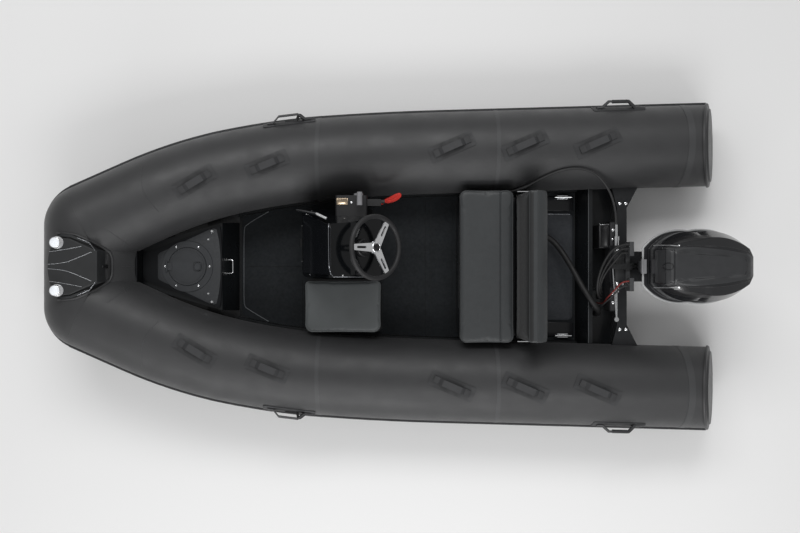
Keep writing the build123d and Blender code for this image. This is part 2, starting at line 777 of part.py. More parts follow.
# Engine control box on the starboard side: housing, lever and stop switch
box_port = console_starboard - seat_gap
box_w = 62.0
box_fore = 355.0
box_low = 520.0
box_high = 640.0
box_deep = box_w + 70.0
beside_console = console_block(0.0).moved(Location((0, -seat_gap, 0)))
with BuildPart() as control_box:
    with Locations(((box_fore + 180.0) / 2, box_port - box_w + box_deep / 2, (box_low + box_high) / 2)):
        Box(box_fore - 180.0, box_deep, box_high - box_low)
    fillet(control_box.edges().filter_by(Axis.Y), 14.0)
    with Locations((150.0, box_port - 24.0, 585.0)):
        Box(90.0, 38.0, 70.0)
    with Locations(Location((106.0 - 9.0, box_port - 30.0, 600.0), (0, 90, 0))):
        Cylinder(11.0, 26.0)
    add(beside_console, mode=Mode.SUBTRACT)
save(control_box, "control_box")

lever_x = 230.0
lever_y = box_port - box_w - seat_gap
with BuildPart() as throttle_lever:
    with Locations(Location((lever_x, lever_y - 7.0, 580.0), (90, 0, 0))):
        Cylinder(26.0, 14.0)
    with BuildSketch(Plane(origin=(0, lever_y - 3.0, 0), x_dir=(1, 0, 0), z_dir=(0, -1, 0))):
        with BuildLine():
            Polyline(
                (lever_x - 12, 580), (lever_x + 12, 580), (lever_x - 2, 700), (lever_x - 22, 700), close=True,
            )
        make_face()
    extrude(amount=9.0)
    with Locations(Location((lever_x - 12.0, lever_y + 24.0, 706.0), (90, 0, 0))):
        Cylinder(15.0, 72.0)
    fillet(throttle_lever.edges().filter_by(GeomType.CIRCLE).group_by(Axis.Z)[-1], 4.0)
save(throttle_lever, "throttle_lever")

# Side seat on the port side of the console: locker, lid and pad
seat_fore = 548.0
seat_aft = 112.0
seat_in = console_port + 16.0
seat_out = 380.0
seat_top = 352.0
shell_t = 8.0
pad_over = 12.0
seat_pad_h = 52.0


def locker_box(fore, aft, starboard, port, top, cavity_aft):
    """A moulded seat locker, open at its top, standing on the floor."""
    low = floor_z + seat_gap
    with BuildPart() as box:
        with BuildSketch(Plane.XY.offset(low)):
            with Locations(((fore + aft) / 2, (starboard + port) / 2)):
                RectangleRounded(fore - aft, port - starboard, 24.0)
        extrude(amount=top - low)
        with BuildSketch(Plane.XY.offset(low + shell_t)):
            with Locations(((fore + cavity_aft) / 2, (starboard + port) / 2)):
                RectangleRounded(fore - cavity_aft - 2 * shell_t, port - starboard - 2 * shell_t, 16.0)
        extrude(amount=top, mode=Mode.SUBTRACT)
    return box.part


with BuildPart() as side_seat_box:
    add(locker_box(seat_fore, seat_aft, seat_in, seat_out, seat_top, seat_aft))
save(side_seat_box, "side_seat_box")

lid_gap = 0.5
lid_t = 8.0
lid_pin_r = 5.0


def hinged_lid(fore, aft, starboard, port, top):
    """A flat lid over a locker with its hinge barrel along the fore edge."""
    with BuildPart() as lid:
        with BuildSketch(Plane.XY.offset(top + lid_gap)):
            with Locations(((fore + aft) / 2, (starboard + port) / 2)):
                RectangleRounded(fore - aft, port - starboard, 24.0)
        extrude(amount=lid_t)
        middle = (starboard + port) / 2
        pin_at = (fore + lid_pin_r + seat_gap, middle, top + lid_gap + lid_t - lid_pin_r)
        with Locations(Location(pin_at, (90, 0, 0))):
            Cylinder(lid_pin_r, 0.6 * (port - starboard))
        with Locations((fore + 2.0, middle, top + lid_gap + lid_t - 2.0)):
            Box(8.0, 0.6 * (port - starboard), 4.0)
    return lid.part


with BuildPart() as side_seat_lid:
    add(hinged_lid(seat_fore, seat_aft, seat_in, seat_out, seat_top))
save(side_seat_lid, "side_seat_lid")


def seat_pad(fore, aft, starboard, port, foot, height, round_in, round_out):
    with BuildPart() as pad:
        with BuildSketch(Plane.XY.offset(foot)) as outline:
            with Locations(((fore + aft) / 2, (starboard + port) / 2)):
                Rectangle(fore - aft, port - starboard)
            fillet(outline.vertices().group_by(Axis.Y)[-1], round_out)
            fillet(outline.vertices().group_by(Axis.Y)[0], round_in)
        extrude(amount=height)
        fillet(pad.faces().sort_by(Axis.Z)[-1].edges(), 14.0)
    return pad.part


with BuildPart() as side_seat_pad:
    foot = seat_top + lid_gap + lid_t + seat_gap
    fore, aft = seat_fore + pad_over, seat_aft - pad_over
    add(seat_pad(fore, aft, seat_in - 4.0, seat_out + pad_over, foot, seat_pad_h, 26.0, 50.0))
save(side_seat_pad, "side_seat_pad")

# Helm bench: locker base, lid and cushion, and the padded back
bench_fore = -346.0
bench_lid_aft = -664.0
bench_aft = -790.0
bench_side_gap = 24.0
bench_half = tube_line[1][1] - tube_r - bench_side_gap
bench_top = 384.0
cushion_over = 50.0
cushion_half = bench_half + cushion_over
cushion_h = 56.0
with BuildPart() as bench_base:
    add(locker_box(bench_fore, bench_aft, -bench_half, bench_half, bench_top, bench_lid_aft))
save(bench_base, "bench_base")

with BuildPart() as bench_lid:
    add(hinged_lid(bench_fore, bench_lid_aft, -bench_half, bench_half, bench_top))
save(bench_lid, "bench_lid")

with BuildPart() as bench_cushion:
    foot = bench_top + lid_gap + lid_t + seat_gap
    add(seat_pad(bench_fore + 14.0, bench_lid_aft, -cushion_half, cushion_half, foot, cushion_h, 40.0, 40.0))
save(bench_cushion, "bench_cushion")

back_over = 25.0
back_half = bench_half + back_over
back_foot = [(bench_lid_aft - 4.0, bench_top + seat_gap), (bench_aft + 4.0, bench_top + seat_gap)]
with BuildPart() as bench_back:
    with BuildSketch(Plane(origin=(0, -back_half, 0), x_dir=(1, 0, 0), z_dir=(0, -1, 0))):
        with BuildLine():
            Line(back_foot[0], (-696.0, 690.0))
            ThreePointArc((-696.0, 690.0), (-703.0, 702.0), (-716.0, 707.0))
            Line((-716.0, 707.0), (-748.0, 711.0))
            ThreePointArc((-748.0, 711.0), (-788.0, 686.0), (-807.0, 628.0))
            Polyline((-807.0, 628.0), (-812.0, 470.0), back_foot[1], back_foot[0])
        make_face()
    extrude(amount=-2 * back_half)
save(bench_back, "bench_back")

with BuildPart() as back_brackets:
    for side in (1, -1):
        with Locations((bench_lid_aft - 40.0, side * (back_half + seat_gap + 2.0), bench_top + 46.0)):
            Box(70.0, 4.0, 80.0)

# Floor mats in two panels, cut round what stands on the floor
mat_t = 4.0
mat_gap = 3.0
mat_seam = -190.0
mat_fore = floor_front - 12.0
mat_round = 60.0
with BuildPart() as floor_mats:
    mat_x = [*plan_x[:-1], mat_fore]
    rim = [(x, tube_at(x)[0] - coaming_out - coaming_w - mat_gap) for x in mat_x]
    rim[0] = (well_front + 2 * mat_gap, rim[0][1])
    with BuildSketch(Plane.XY.offset(floor_z)) as mat_plan:
        with BuildLine():
            Polyline(*rim, *[(x, -y) for x, y in reversed(rim)], close=True)
        make_face()
        fillet(mat_plan.vertices().group_by(Axis.X)[-1], mat_round)
        with Locations((mat_seam, 0)):
            Rectangle(mat_gap, 2000.0, mode=Mode.SUBTRACT)
        # Columns: fore x, aft x, starboard y, port y
        for fore, aft, starboard, port in (
            (560.0, 150.0, console_starboard, console_port),
            (seat_fore, seat_aft, seat_in, seat_out),
            (bench_fore, bench_aft, -bench_half, bench_half),
        ):
            with Locations(((fore + aft) / 2, (starboard + port) / 2)):
                Rectangle(fore - aft + 2 * mat_gap, port - starboard + 2 * mat_gap, mode=Mode.SUBTRACT)
    extrude(amount=mat_t)
save(floor_mats, "floor_mats")

# Cleats on the floor beside the tubes, aft of the bench
cleat_x = -1000.0
cleat_y = 425.0
cleat_foot = floor_z + mat_t + seat_gap
with BuildPart() as stern_cleats:
    for side in (1, -1):
        with Locations((cleat_x, side * cleat_y, cleat_foot + 4.0)):
            Box(64.0, 22.0, 8.0)
        with Locations((cleat_x, side * cleat_y, cleat_foot + 17.0)):
            Box(20.0, 12.0, 20.0)
        with Locations(Location((cleat_x, side * cleat_y, cleat_foot + 31.0), (0, 90, 0))):
            Cylinder(6.0, 100.0)

with BuildPart() as bright_fittings:
    for fitting in (deck_studs, locker_pull, bow_lamps, console_rail, back_brackets, stern_cleats):
        add(fitting.part)
save(bright_fittings, "bright_fittings")

# Towing eyes: one on the stem and two on the transom's outer face
eye_bore = 10.0
eye_ring = 20.0
eye_t = 12.0
stem_foot = Vector(1560.0, 0, keel_z + 375.0)
stem_out = Vector(0.62, 0, -0.785)
with BuildPart() as bow_eye:
    ring_at = stem_foot + stem_out * 26.0
    with BuildSketch(Plane(origin=(0, -eye_t / 2, 0), x_dir=(1, 0, 0), z_dir=(0, -1, 0))):
        with BuildLine():
            Polyline(
                (stem_foot.X - 40, stem_foot.Z - 8), (ring_at.X - 18, ring_at.Z - 9),
                (ring_at.X + 18, ring_at.Z + 9), (stem_foot.X + 30, stem_foot.Z + 50), close=True,
            )
        make_face()
        with Locations((ring_at.X, ring_at.Z)):
            Circle(eye_ring)
            Circle(eye_bore, mode=Mode.SUBTRACT)
    extrude(amount=-eye_t)
    add(hull.part.moved(Location(stem_out * seat_gap)), mode=Mode.SUBTRACT)

stern_eye_y = 345.0
stern_eye_z = 60.0
stern_eye_x = transom_x - transom_t - seat_gap
eye_reach = 24.0
with BuildPart() as stern_eyes:
    for side in (1, -1):
        with Locations((stern_eye_x - 3.0, side * stern_eye_y, stern_eye_z)):
            Box(6.0, 60.0, 60.0)
        with Locations((stern_eye_x - eye_reach, side * stern_eye_y, stern_eye_z)):
            Cylinder(eye_ring, eye_t)
        with Locations((stern_eye_x - 12.0, side * stern_eye_y, stern_eye_z)):
            Box(18.0, 2 * eye_ring, eye_t)
    for side in (1, -1):
        with Locations((stern_eye_x - eye_reach - 2.0, side * stern_eye_y, stern_eye_z)):
            Cylinder(eye_bore, eye_t + 2.0, mode=Mode.SUBTRACT)

with BuildPart() as towing_eyes:
    add(bow_eye.part)
    add(stern_eyes.part)
save(towing_eyes, "towing_eyes")

# Outboard motor: tilt and steering axes
tilt_x = -1255.0
tilt_z = 380.0
steer_x = -1460.0
tilt_tube_r = 16.0
tilt_bore_r = 9.5
tilt_half = 150.0
clamp_in = 92.0
clamp_t = 30.0
clamp_aft = transom_x - transom_t
cap_top = transom_top + seat_gap + cap_h
with BuildPart() as clamp_bracket:
    aft_face = clamp_aft - half_cap + transom_t / 2 - seat_gap
    for side in (1, -1):
        with BuildSketch(Plane(origin=(0, side * clamp_in, 0), x_dir=(1, 0, 0), z_dir=(0, -1, 0))):
            with BuildLine():
                Polyline(
                    (tilt_x + 30, tilt_z - 14), (tilt_x + 16, tilt_z + 28), (tilt_x - 16, tilt_z + 28),
                    (aft_face - 20, tilt_z - 24), (aft_face - 52, 240), (aft_face - 44, -20),
                    (aft_face, -60), (aft_face, cap_top + seat_gap), (tilt_x + 4, cap_top + seat_gap),
                    (tilt_x + 22, cap_top + 12), close=True,
                )
            make_face()
            with Locations((tilt_x, tilt_z)):
                Circle(tilt_tube_r + seat_gap, mode=Mode.SUBTRACT)
        extrude(amount=-side * clamp_t)
save(clamp_bracket, "clamp_bracket")

with BuildPart() as tilt_tube:
    with Locations(Location((tilt_x, 0, tilt_z), (90, 0, 0))):
        Cylinder(tilt_tube_r, 2 * tilt_half)
        Cylinder(tilt_bore_r, 2 * tilt_half, mode=Mode.SUBTRACT)

# Swivel bracket: knuckle on the tilt tube, yoke and the steering barrel
swivel_gap = 5.0
swivel_half = clamp_in - swivel_gap
knuckle_r = 30.0
barrel_r = 36.0
barrel_top = 402.0
barrel_foot = -30.0
steer_pin_r = 14.0
with BuildPart() as swivel_bracket:
    with BuildSketch(Plane(origin=(0, -swivel_half, 0), x_dir=(1, 0, 0), z_dir=(0, -1, 0))):
        with BuildLine():
            Polyline(
                (tilt_x, tilt_z + knuckle_r), (steer_x + barrel_r, barrel_top), (steer_x, barrel_top),
                (steer_x, 60),
                (aft_face - 8, 120), (aft_face - 8, tilt_z - knuckle_r), (tilt_x, tilt_z - knuckle_r), close=True,
            )
        make_face()
        with Locations((tilt_x, tilt_z)):
            Circle(knuckle_r)
            Circle(tilt_tube_r + seat_gap, mode=Mode.SUBTRACT)
    extrude(amount=-2 * swivel_half)
    with Locations((steer_x, 0, (barrel_top + barrel_foot) / 2)):
        Cylinder(barrel_r, barrel_top - barrel_foot)
        Cylinder(steer_pin_r + seat_gap, barrel_top - barrel_foot, mode=Mode.SUBTRACT)
save(swivel_bracket, "swivel_bracket")

# Clips for the hoses stand on a bar over the swivel bracket, clear of the steering arm
clip_x = -1311.0
clip_t = 24.0
clip_low = 448.0
clip_high = 503.0
bar_z = 412.0
bar_t = 12.0
# Columns: inner y, outer y, leg's inner y
clip_rows = [(60.0, 140.0, 118.0, -1), (66.0, 140.0, 118.0, 1)]
with BuildPart() as hose_clamps:
    with Locations((clip_x, 0, bar_z + bar_t / 2)):
        Box(clip_t, 280.0, bar_t)
    for inner, outer, leg, side in clip_rows:
        with Locations((clip_x, side * (inner + outer) / 2, (clip_low + clip_high) / 2)):
            Box(clip_t, outer - inner, clip_high - clip_low)
        with Locations((clip_x, side * (leg + outer) / 2, (bar_z + clip_low) / 2 + 4.0)):
            Box(clip_t, outer - leg, clip_low - bar_z + 8.0)
save(hose_clamps, "hose_clamps")

# Motor leg: steering pin, arm, mid section and gear case
leg_fore = -1508.0
leg_aft = -1712.0
leg_half = 62.0
pan_z = 444.0
vent_z = keel_z - 4.0
prop_z = -420.0
skeg_z = -622.0
nose_half = 16.0
yoke_gap = 5.0
yoke_low = (barrel_foot - yoke_gap - 40.0, barrel_foot - yoke_gap)
yoke_high = (barrel_top + yoke_gap, 430.0)
with BuildPart() as motor_pin:
    with Locations((steer_x, 0, (yoke_low[0] + yoke_high[1]) / 2)):
        Cylinder(steer_pin_r, yoke_high[1] - yoke_low[0] - 2.0)


def leaf(fore, aft, half, z):
    """A pointed oval section of the leg at one height."""
    middle = (fore + aft) / 2
    with BuildSketch(Plane.XY.offset(z)) as section:
        with BuildLine():
            Line((fore, -nose_half), (fore, nose_half))
            ThreePointArc((fore, nose_half), (middle, half), (aft, 0))
            ThreePointArc((aft, 0), (middle, -half), (fore, -nose_half))
        make_face()
    return section.sketch


# Columns: fore x, aft x, half width, height
leg_rows = [
    (leg_fore, leg_aft - 60.0, 95.0, pan_z - seat_gap),
    (leg_fore, leg_aft, leg_half, 300.0),
    (leg_fore, leg_aft, 50.0, vent_z + 60.0),
    (leg_fore, leg_aft - 60.0, 62.0, vent_z + 8.0),
]
with BuildPart() as motor_leg:
    loft([leaf(*row) for row in leg_rows], ruled=True)
    for low, high in (yoke_low, yoke_high):
        with BuildSketch(Plane.XY.offset(low)):
            with Locations((steer_x, 0)):
                Circle(barrel_r)
            with Locations(((steer_x + leg_fore - 20.0) / 2, 0)):
                Rectangle(steer_x - leg_fore + 20.0, 2 * barrel_r)
            with Locations((steer_x, 0)):
                Circle(steer_pin_r + seat_gap, mode=Mode.SUBTRACT)
        extrude(amount=high - low)
    with BuildSketch(Plane.XY.offset(vent_z)):
        with BuildLine():
            ThreePointArc((leg_fore + 12, 0), (-1700, 98), (-1930, 70))
            Line((-1930, 70), (-1930, -70))
            ThreePointArc((-1930, -70), (-1700, -98), (leg_fore + 12, 0))
        make_face()
    extrude(amount=8)
save(motor_leg, "motor_leg")

bullet_r = 54.0
bullet_fore = -1470.0
bullet_aft = -1850.0
with BuildPart() as gear_case:
    upper_leaf = leaf(leg_fore, leg_aft - 50, 44, vent_z - seat_gap)
    lower_leaf = leaf(leg_fore, leg_aft - 60, 34, prop_z)
    loft([upper_leaf, lower_leaf], ruled=True)
    with BuildSketch(Plane(origin=(0, 0, prop_z), x_dir=(1, 0, 0), z_dir=(0, -1, 0))) as profile:
        with BuildLine():
            ThreePointArc((bullet_fore, 0), (bullet_fore - 30, 36), (bullet_fore - 90, bullet_r))
            Line((bullet_fore - 90, bullet_r), (bullet_aft + 60, bullet_r))
            Line((bullet_aft + 60, bullet_r), (bullet_aft, bullet_r - 10))
            Polyline((bullet_aft, bullet_r - 10), (bullet_aft, 0), (bullet_fore, 0))
        make_face()
    revolve(axis=Axis((0, 0, prop_z), (1, 0, 0)))
    with BuildSketch(Plane(origin=(0, -5, 0), x_dir=(1, 0, 0), z_dir=(0, -1, 0))):
        with BuildLine():
            Polyline(
                (bullet_fore - 70, prop_z - 40), (-1640, skeg_z), (-1800, skeg_z), (-1790, prop_z - 60),
                (bullet_aft + 8, prop_z - 40), close=True,
            )
        make_face()
    extrude(amount=-10)
    with Locations(Location(((bullet_aft - 40), 0, prop_z), (0, 90, 0))):
        Cylinder(9.0, 110.0)
save(gear_case, "gear_case")

# Propeller: hub and three raked, twisted blades
hub_prop_r = 42.0
prop_r = 150.0
prop_fore = bullet_aft - 5.0
prop_aft = prop_fore - 92.0
prop_bore = 9.3
blade_t = 5.0
with BuildPart() as propeller:
    with Locations(Location(((prop_fore + prop_aft) / 2, 0, prop_z), (0, 90, 0))):
        Cylinder(hub_prop_r, prop_fore - prop_aft)
    for k in range(3):
        sections = []
        for reach, chord, pitch in ((hub_prop_r - 8.0, 70.0, 58.0), (95.0, 104.0, 34.0), (prop_r, 44.0, 22.0)):
            out = Vector(0, sin(radians(120 * k)), cos(radians(120 * k)))
            across = out.cross(Vector(1, 0, 0))
            chord_dir = across * cos(radians(pitch)) + Vector(1, 0, 0) * sin(radians(pitch))
            spot = Vector((prop_fore + prop_aft) / 2, 0, prop_z) + out * reach
            with BuildSketch(Plane(origin=spot, x_dir=chord_dir, z_dir=out)) as blade:
                with BuildLine():
                    ThreePointArc((-chord / 2, 0), (0, blade_t / 2 + 2), (chord / 2, 0))
                    ThreePointArc((chord / 2, 0), (0, -blade_t / 2 + 1), (-chord / 2, 0))
                make_face()
            sections.append(blade.sketch)
        loft(sections)
    with Locations(Location(((prop_fore + prop_aft) / 2, 0, prop_z), (0, 90, 0))):
        Cylinder(prop_bore, 200.0, mode=Mode.SUBTRACT)
save(propeller, "propeller")

# Cowl: lower pan and lofted top cover
pan_fore = -1362.0
pan_aft = -1920.0
pan_half = 200.0
pan_h = 96.0
cowl_seam = pan_z + pan_h


def cowl_outline(fore, aft, half, nose, z):
    """The cowl's plan at one height: blunt nose, full sides and a blunt, rounded stern."""
    run = fore - aft
    middle = (fore - 0.45 * run, half)
    quarter = (aft + 0.04 * run, 0.62 * half)
    stern = (aft, 0.34 * half)
    with BuildSketch(Plane.XY.offset(z)) as plan:
        with BuildLine():
            Line((fore, -nose), (fore, nose))
            ThreePointArc((fore, nose), (fore - 0.19 * run, half * 0.93), middle)
            ThreePointArc(middle, (aft + 0.17 * run, half * 0.87), quarter)
            Polyline(quarter, stern, (aft, -stern[1]), (quarter[0], -quarter[1]))
            ThreePointArc((quarter[0], -quarter[1]), (aft + 0.17 * run, -half * 0.87), (middle[0], -half))
            ThreePointArc((middle[0], -half), (fore - 0.19 * run, -half * 0.93), (fore, -nose))
        make_face()
    return plan.sketch


with BuildPart() as cowl_pan:
    loft([
        cowl_outline(pan_fore - 40, pan_aft + 120, pan_half - 60, 80, pan_z),
        cowl_outline(pan_fore, pan_aft, pan_half, 105, cowl_seam),
    ], ruled=True)

# Columns: fore x, aft x, half width, half nose, height above the seam
cowl_rows = [
    (pan_fore - 26.0, pan_aft + 14.0, pan_half - 12.0, 96.0, 0.0),
    (pan_fore - 34.0, pan_aft + 18.0, pan_half - 14.0, 92.0, 110.0),
    (pan_fore - 50.0, pan_aft + 40.0, pan_half - 50.0, 94.0, 222.0),
    (pan_fore - 72.0, pan_aft + 76.0, pan_half - 98.0, 86.0, 254.0),
]
cowl_crest = 8.0

with BuildPart() as cowl_top:
    cowl_foot = cowl_seam + seat_gap
    plans = [cowl_outline(fore, aft, half, nose, cowl_foot + up) for fore, aft, half, nose, up in cowl_rows]
    loft(plans, ruled=True)
    crest_z = cowl_foot + cowl_rows[-1][4]
    crest = [(pan_fore - 84.0, 80.0), (pan_aft + 92.0, 50.0), (pan_aft + 82.0, 0.0)]
    for low, drawn in ((crest_z, 0.0), (crest_z + cowl_crest, 6.0)):
        with BuildSketch(Plane.XY.offset(low)):
            with BuildLine():
                Polyline((crest[0][0] - drawn, 0), (crest[0][0] - drawn, crest[0][1] - drawn),
                         (crest[1][0] + drawn, crest[1][1] - drawn), (crest[2][0] + drawn, 0), close=True)
            make_face()
            mirror(about=Plane.XZ)
    loft(ruled=True)
save(cowl_top, "cowl_top")

with BuildPart() as cowl_latch:
    with Locations((pan_fore, 0, cowl_seam - 22.0)):
        Box(36.0, 60.0, 34.0)
    fillet(cowl_latch.edges().filter_by(Axis.Y).group_by(Axis.X)[-1], 6.0)

with BuildPart() as lower_cowl:
    add(cowl_pan.part)
    add(cowl_latch.part)
save(lower_cowl, "cowl_pan")

# Steering arm, drag link and the sliding rod in the tilt tube
arm_reach = 235.0
link_z = 419.0
link_r = 6.0
link_t = 10.0
eye_r = 13.0
pin_r = 5.0
arm_z = yoke_high[1] + seat_gap
arm_t = 10.0
arm_eye = (steer_x + arm_reach, 0.0)
rod_reach = 305.0
rod_eye = (tilt_x + 8.0, rod_reach)
with BuildPart() as steering_arm:
    with BuildSketch(Plane.XY.offset(arm_z)):
        with BuildLine():
            Polyline(
                (steer_x - 20, -28), (steer_x + 40, -24), (arm_eye[0], -eye_r), (arm_eye[0], eye_r),
                (steer_x + 40, 24), (steer_x - 20, 28), close=True,
            )
        make_face()
        with Locations(arm_eye):
            Circle(eye_r)
    extrude(amount=arm_t)
    with Locations((*arm_eye, link_z - link_t / 2 - 2.0)):
        Cylinder(pin_r, arm_z - link_z + link_t / 2 + 3.0, align=(Align.CENTER, Align.CENTER, Align.MIN))

with BuildPart() as arm_and_pin:
    add(steering_arm.part)
    add(motor_pin.part)
save(arm_and_pin, "steering_arm")

with BuildPart() as drag_link:
    run = Vector(rod_eye[0] - arm_eye[0], rod_eye[1] - arm_eye[1], 0)
    for spot in (arm_eye, rod_eye):
        with Locations((*spot, link_z)):
            Cylinder(eye_r, link_t)
    with BuildSketch(Plane(origin=(*arm_eye, link_z), z_dir=run)):
        Circle(link_r)
    extrude(amount=run.length)
    with Locations((*arm_eye, link_z)):
        Cylinder(pin_r + seat_gap, 4 * link_t, mode=Mode.SUBTRACT)
save(drag_link, "drag_link")

rod_r = 8.0
rod_start = -25.0
ball_r = 12.0
with BuildPart() as steering_rod:
    with Locations(Location((tilt_x, (rod_start + rod_reach) / 2, tilt_z), (90, 0, 0))):
        Cylinder(rod_r, rod_reach - rod_start)
    with Locations((tilt_x, rod_reach, tilt_z)):
        Sphere(ball_r)
        Cylinder(pin_r, link_z - link_t / 2 - 1.0 - tilt_z, align=(Align.CENTER, Align.CENTER, Align.MIN))
save(steering_rod, "steering_rod")

with BuildPart() as cable_nut:
    with Locations(Location((tilt_x, -tilt_half - seat_gap - 12.0, tilt_z), (90, 0, 0))):
        Cylinder(18.0, 24.0)
    with Locations(Location((tilt_x, -tilt_half - 24.0 - 34.0, tilt_z), (90, 0, 0))):
        Cylinder(9.0, 70.0)

with BuildPart() as nutted_tube:
    add(tilt_tube.part)
    add(cable_nut.part)
save(nutted_tube, "tilt_tube")

# Plate in the well where the hoses, cables and the conduit go below
gland_x = -1192.0
gland_y = 228.0
gland_t = 8.0
with BuildPart() as rigging_gland:
    with Locations((gland_x, gland_y, well_z + seat_gap + gland_t / 2)):
        Box(56.0, 160.0, gland_t)
save(rigging_gland, "rigging_gland")

# Cords: each a tube of straight runs and tangent arcs
gland_top = well_z + gland_t + 2 * seat_gap


def cord(name, route, radius):
    """A cord along its route, its arcs as large as the runs beside them allow."""
    points = [Vector(*p) for p in route]
    radii = []
    for before, at, after in zip(points[:-2], points[1:-1], points[2:]):
        turn = radians((at - before).get_angle(after - at))
        radii.append(0.45 * min((at - before).length, (after - at).length) / tan(turn / 2))
    with BuildPart() as tube:
        with BuildLine() as line:
            FilletPolyline(*points, radius=radii)
        with BuildSketch(Plane(origin=line.line @ 0, z_dir=line.line % 0)):
            Circle(radius)
        sweep(path=line.line)
    length = sum(edge.length for edge in line.line.edges())
    share = tube.part.volume / (length * pi * radius ** 2)
    print(name, "length", round(length), "share", round(share, 4), "radii", [round(r) for r in radii])
    save(tube, name)


bench_side = -bench_half - seat_gap
nut_end = -tilt_half - 24.0 - 34.0 - 35.0 - seat_gap
cord("steering_cable", [
    (tilt_x, nut_end, tilt_z), (tilt_x, -296, tilt_z), (-1236, -380, 396), (-1200, -446, 424),
    (-1146, -506, 458), (-1080, -546, 478), (-996, -560, 484), (-908, -546, 474), (-826, -512, 448),
    (-752, -470, 408), (-690, -448, 362), (-634, -438, 316), (-590, -434, 278), (-562, -424, 252),
    (-562, bench_side, 252),
], 7.0)

bench_back_face = bench_aft - seat_gap
cord("engine_conduit", [
    (bench_back_face, -200, 170), (-850, -200, 170), (-915, -170, 176), (-965, -110, 196), (-1005, -40, 226),
    (-1040, 34, 262), (-1070, 106, 300), (-1104, 170, 330), (-1140, 222, 330), (-1170, 258, 300),
    (-1186, 280, 250), (-1190, 286, 200), (-1190, 286, gland_top),
], 17.0)

clip_face = clip_x + clip_t / 2 + seat_gap
# Columns: name, y and z at the clip, y where the hose goes down, spread, height of the last bend
hose_rows = [
    ("rigging_hose_upper", -126.0, 492.0, 191.0, 24.0, 396.0),
    ("rigging_hose_middle", -102.0, 476.0, 172.0, 0.0, 386.0),
    ("rigging_hose_lower", -78.0, 460.0, 153.0, -24.0, 376.0),
]
for name, y, z, down_y, spread, bend_z in hose_rows:
    over = down_y - y
    cord(name, [
        (clip_face, y, z), (clip_face + 34, y, z), (-1226 + spread, y + 0.1 * over, z + 4),
        (-1184 + spread, y + 0.3 * over, z - 2), (-1152 + 0.8 * spread, y + 0.54 * over, z - 18),
        (-1144 + 0.6 * spread, y + 0.77 * over, z - 52), (-1156 + 0.4 * spread, y + 0.92 * over, bend_z),
        (-1178 + 0.2 * spread, y + 0.98 * over, 330), (-1198, down_y - 1, 268), (-1202, down_y, 208),
        (-1202, down_y, gland_top),
    ], 7.0)

cord("battery_cable_red", [
    (clip_face, 84, 488), (clip_face + 22, 84, 488), (-1250, 98, 486), (-1228, 128, 470), (-1210, 158, 440),
    (-1196, 184, 400), (-1196, 206, 354), (-1198, 218, 305), (-1200, 221, 255), (-1201, 222, 201),
    (-1201, 222, gland_top),
], 4.5)
cord("battery_cable_black", [
    (clip_face, 112, 468), (clip_face + 22, 112, 468), (-1250, 128, 464), (-1224, 160, 452), (-1204, 188, 426),
    (-1188, 210, 388), (-1186, 226, 346), (-1185, 234, 300), (-1184, 236, 250), (-1183, 236, 199),
    (-1183, 236, gland_top),
], 4.5)

# Stop switch lanyard: a curly cord from the switch that hangs in a loop to its clip under the box
lanyard_r = 11.0
switch_y = box_port - 30.0
cord("stop_lanyard", [
    (84.0 - seat_gap, switch_y, 600.0), (58, switch_y, 600), (22, switch_y - 14, 592), (0, switch_y - 38, 568),
    (6, switch_y - 46, 530), (34, switch_y - 38, 498), (74, switch_y - 18, 484), (110, switch_y, 492),
    (128, switch_y + 6, 520), (128, switch_y + 6, 550.0 - seat_gap),
], lanyard_r)
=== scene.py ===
import bpy
import bmesh
import json
from math import radians, cos, sin, pi
from mathutils import Vector, Matrix
from mathutils.bvhtree import BVHTree


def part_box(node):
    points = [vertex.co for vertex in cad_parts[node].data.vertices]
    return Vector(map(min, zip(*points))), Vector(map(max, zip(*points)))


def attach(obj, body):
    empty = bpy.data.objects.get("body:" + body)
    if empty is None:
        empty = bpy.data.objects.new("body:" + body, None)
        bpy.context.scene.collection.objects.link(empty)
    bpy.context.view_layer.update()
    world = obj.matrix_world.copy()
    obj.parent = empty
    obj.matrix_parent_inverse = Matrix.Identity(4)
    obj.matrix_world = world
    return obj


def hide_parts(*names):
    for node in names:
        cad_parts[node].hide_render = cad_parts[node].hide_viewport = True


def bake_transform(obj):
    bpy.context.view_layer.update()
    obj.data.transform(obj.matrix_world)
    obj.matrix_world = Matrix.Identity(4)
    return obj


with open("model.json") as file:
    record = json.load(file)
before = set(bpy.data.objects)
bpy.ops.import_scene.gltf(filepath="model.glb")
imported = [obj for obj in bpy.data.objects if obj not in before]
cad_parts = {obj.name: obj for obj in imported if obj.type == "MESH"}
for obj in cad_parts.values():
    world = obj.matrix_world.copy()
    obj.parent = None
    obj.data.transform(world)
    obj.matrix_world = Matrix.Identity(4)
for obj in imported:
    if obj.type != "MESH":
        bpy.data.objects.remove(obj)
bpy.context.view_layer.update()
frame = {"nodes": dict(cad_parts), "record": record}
nodes = frame["nodes"]
print("frame loaded:", len(nodes), "nodes")

# camera straight above the boat, bow to the left
cameraSettings = {"height": 4.90, "lens": 35.0, "sensor": 36.0}
bpy.ops.object.camera_add(location=(0, 0, cameraSettings["height"]), rotation=(0, 0, pi))
camera = bpy.context.object
camera.name = "topCamera"
camera.data.lens = cameraSettings["lens"]
camera.data.sensor_width = cameraSettings["sensor"]
camera.data.clip_end = 60
bpy.context.scene.camera = camera
bpy.context.scene.view_settings.view_transform = "Standard"


def deselectAll():
    if bpy.context.object and bpy.context.object.mode != "OBJECT":
        bpy.ops.object.mode_set(mode="OBJECT")
    bpy.ops.object.select_all(action="DESELECT")


def makeActive(piece):
    deselectAll()
    piece.select_set(True)
    bpy.context.view_layer.objects.active = piece


def newPiece(primitive, **options):
    deselectAll()
    primitive(**options)
    return bpy.context.object


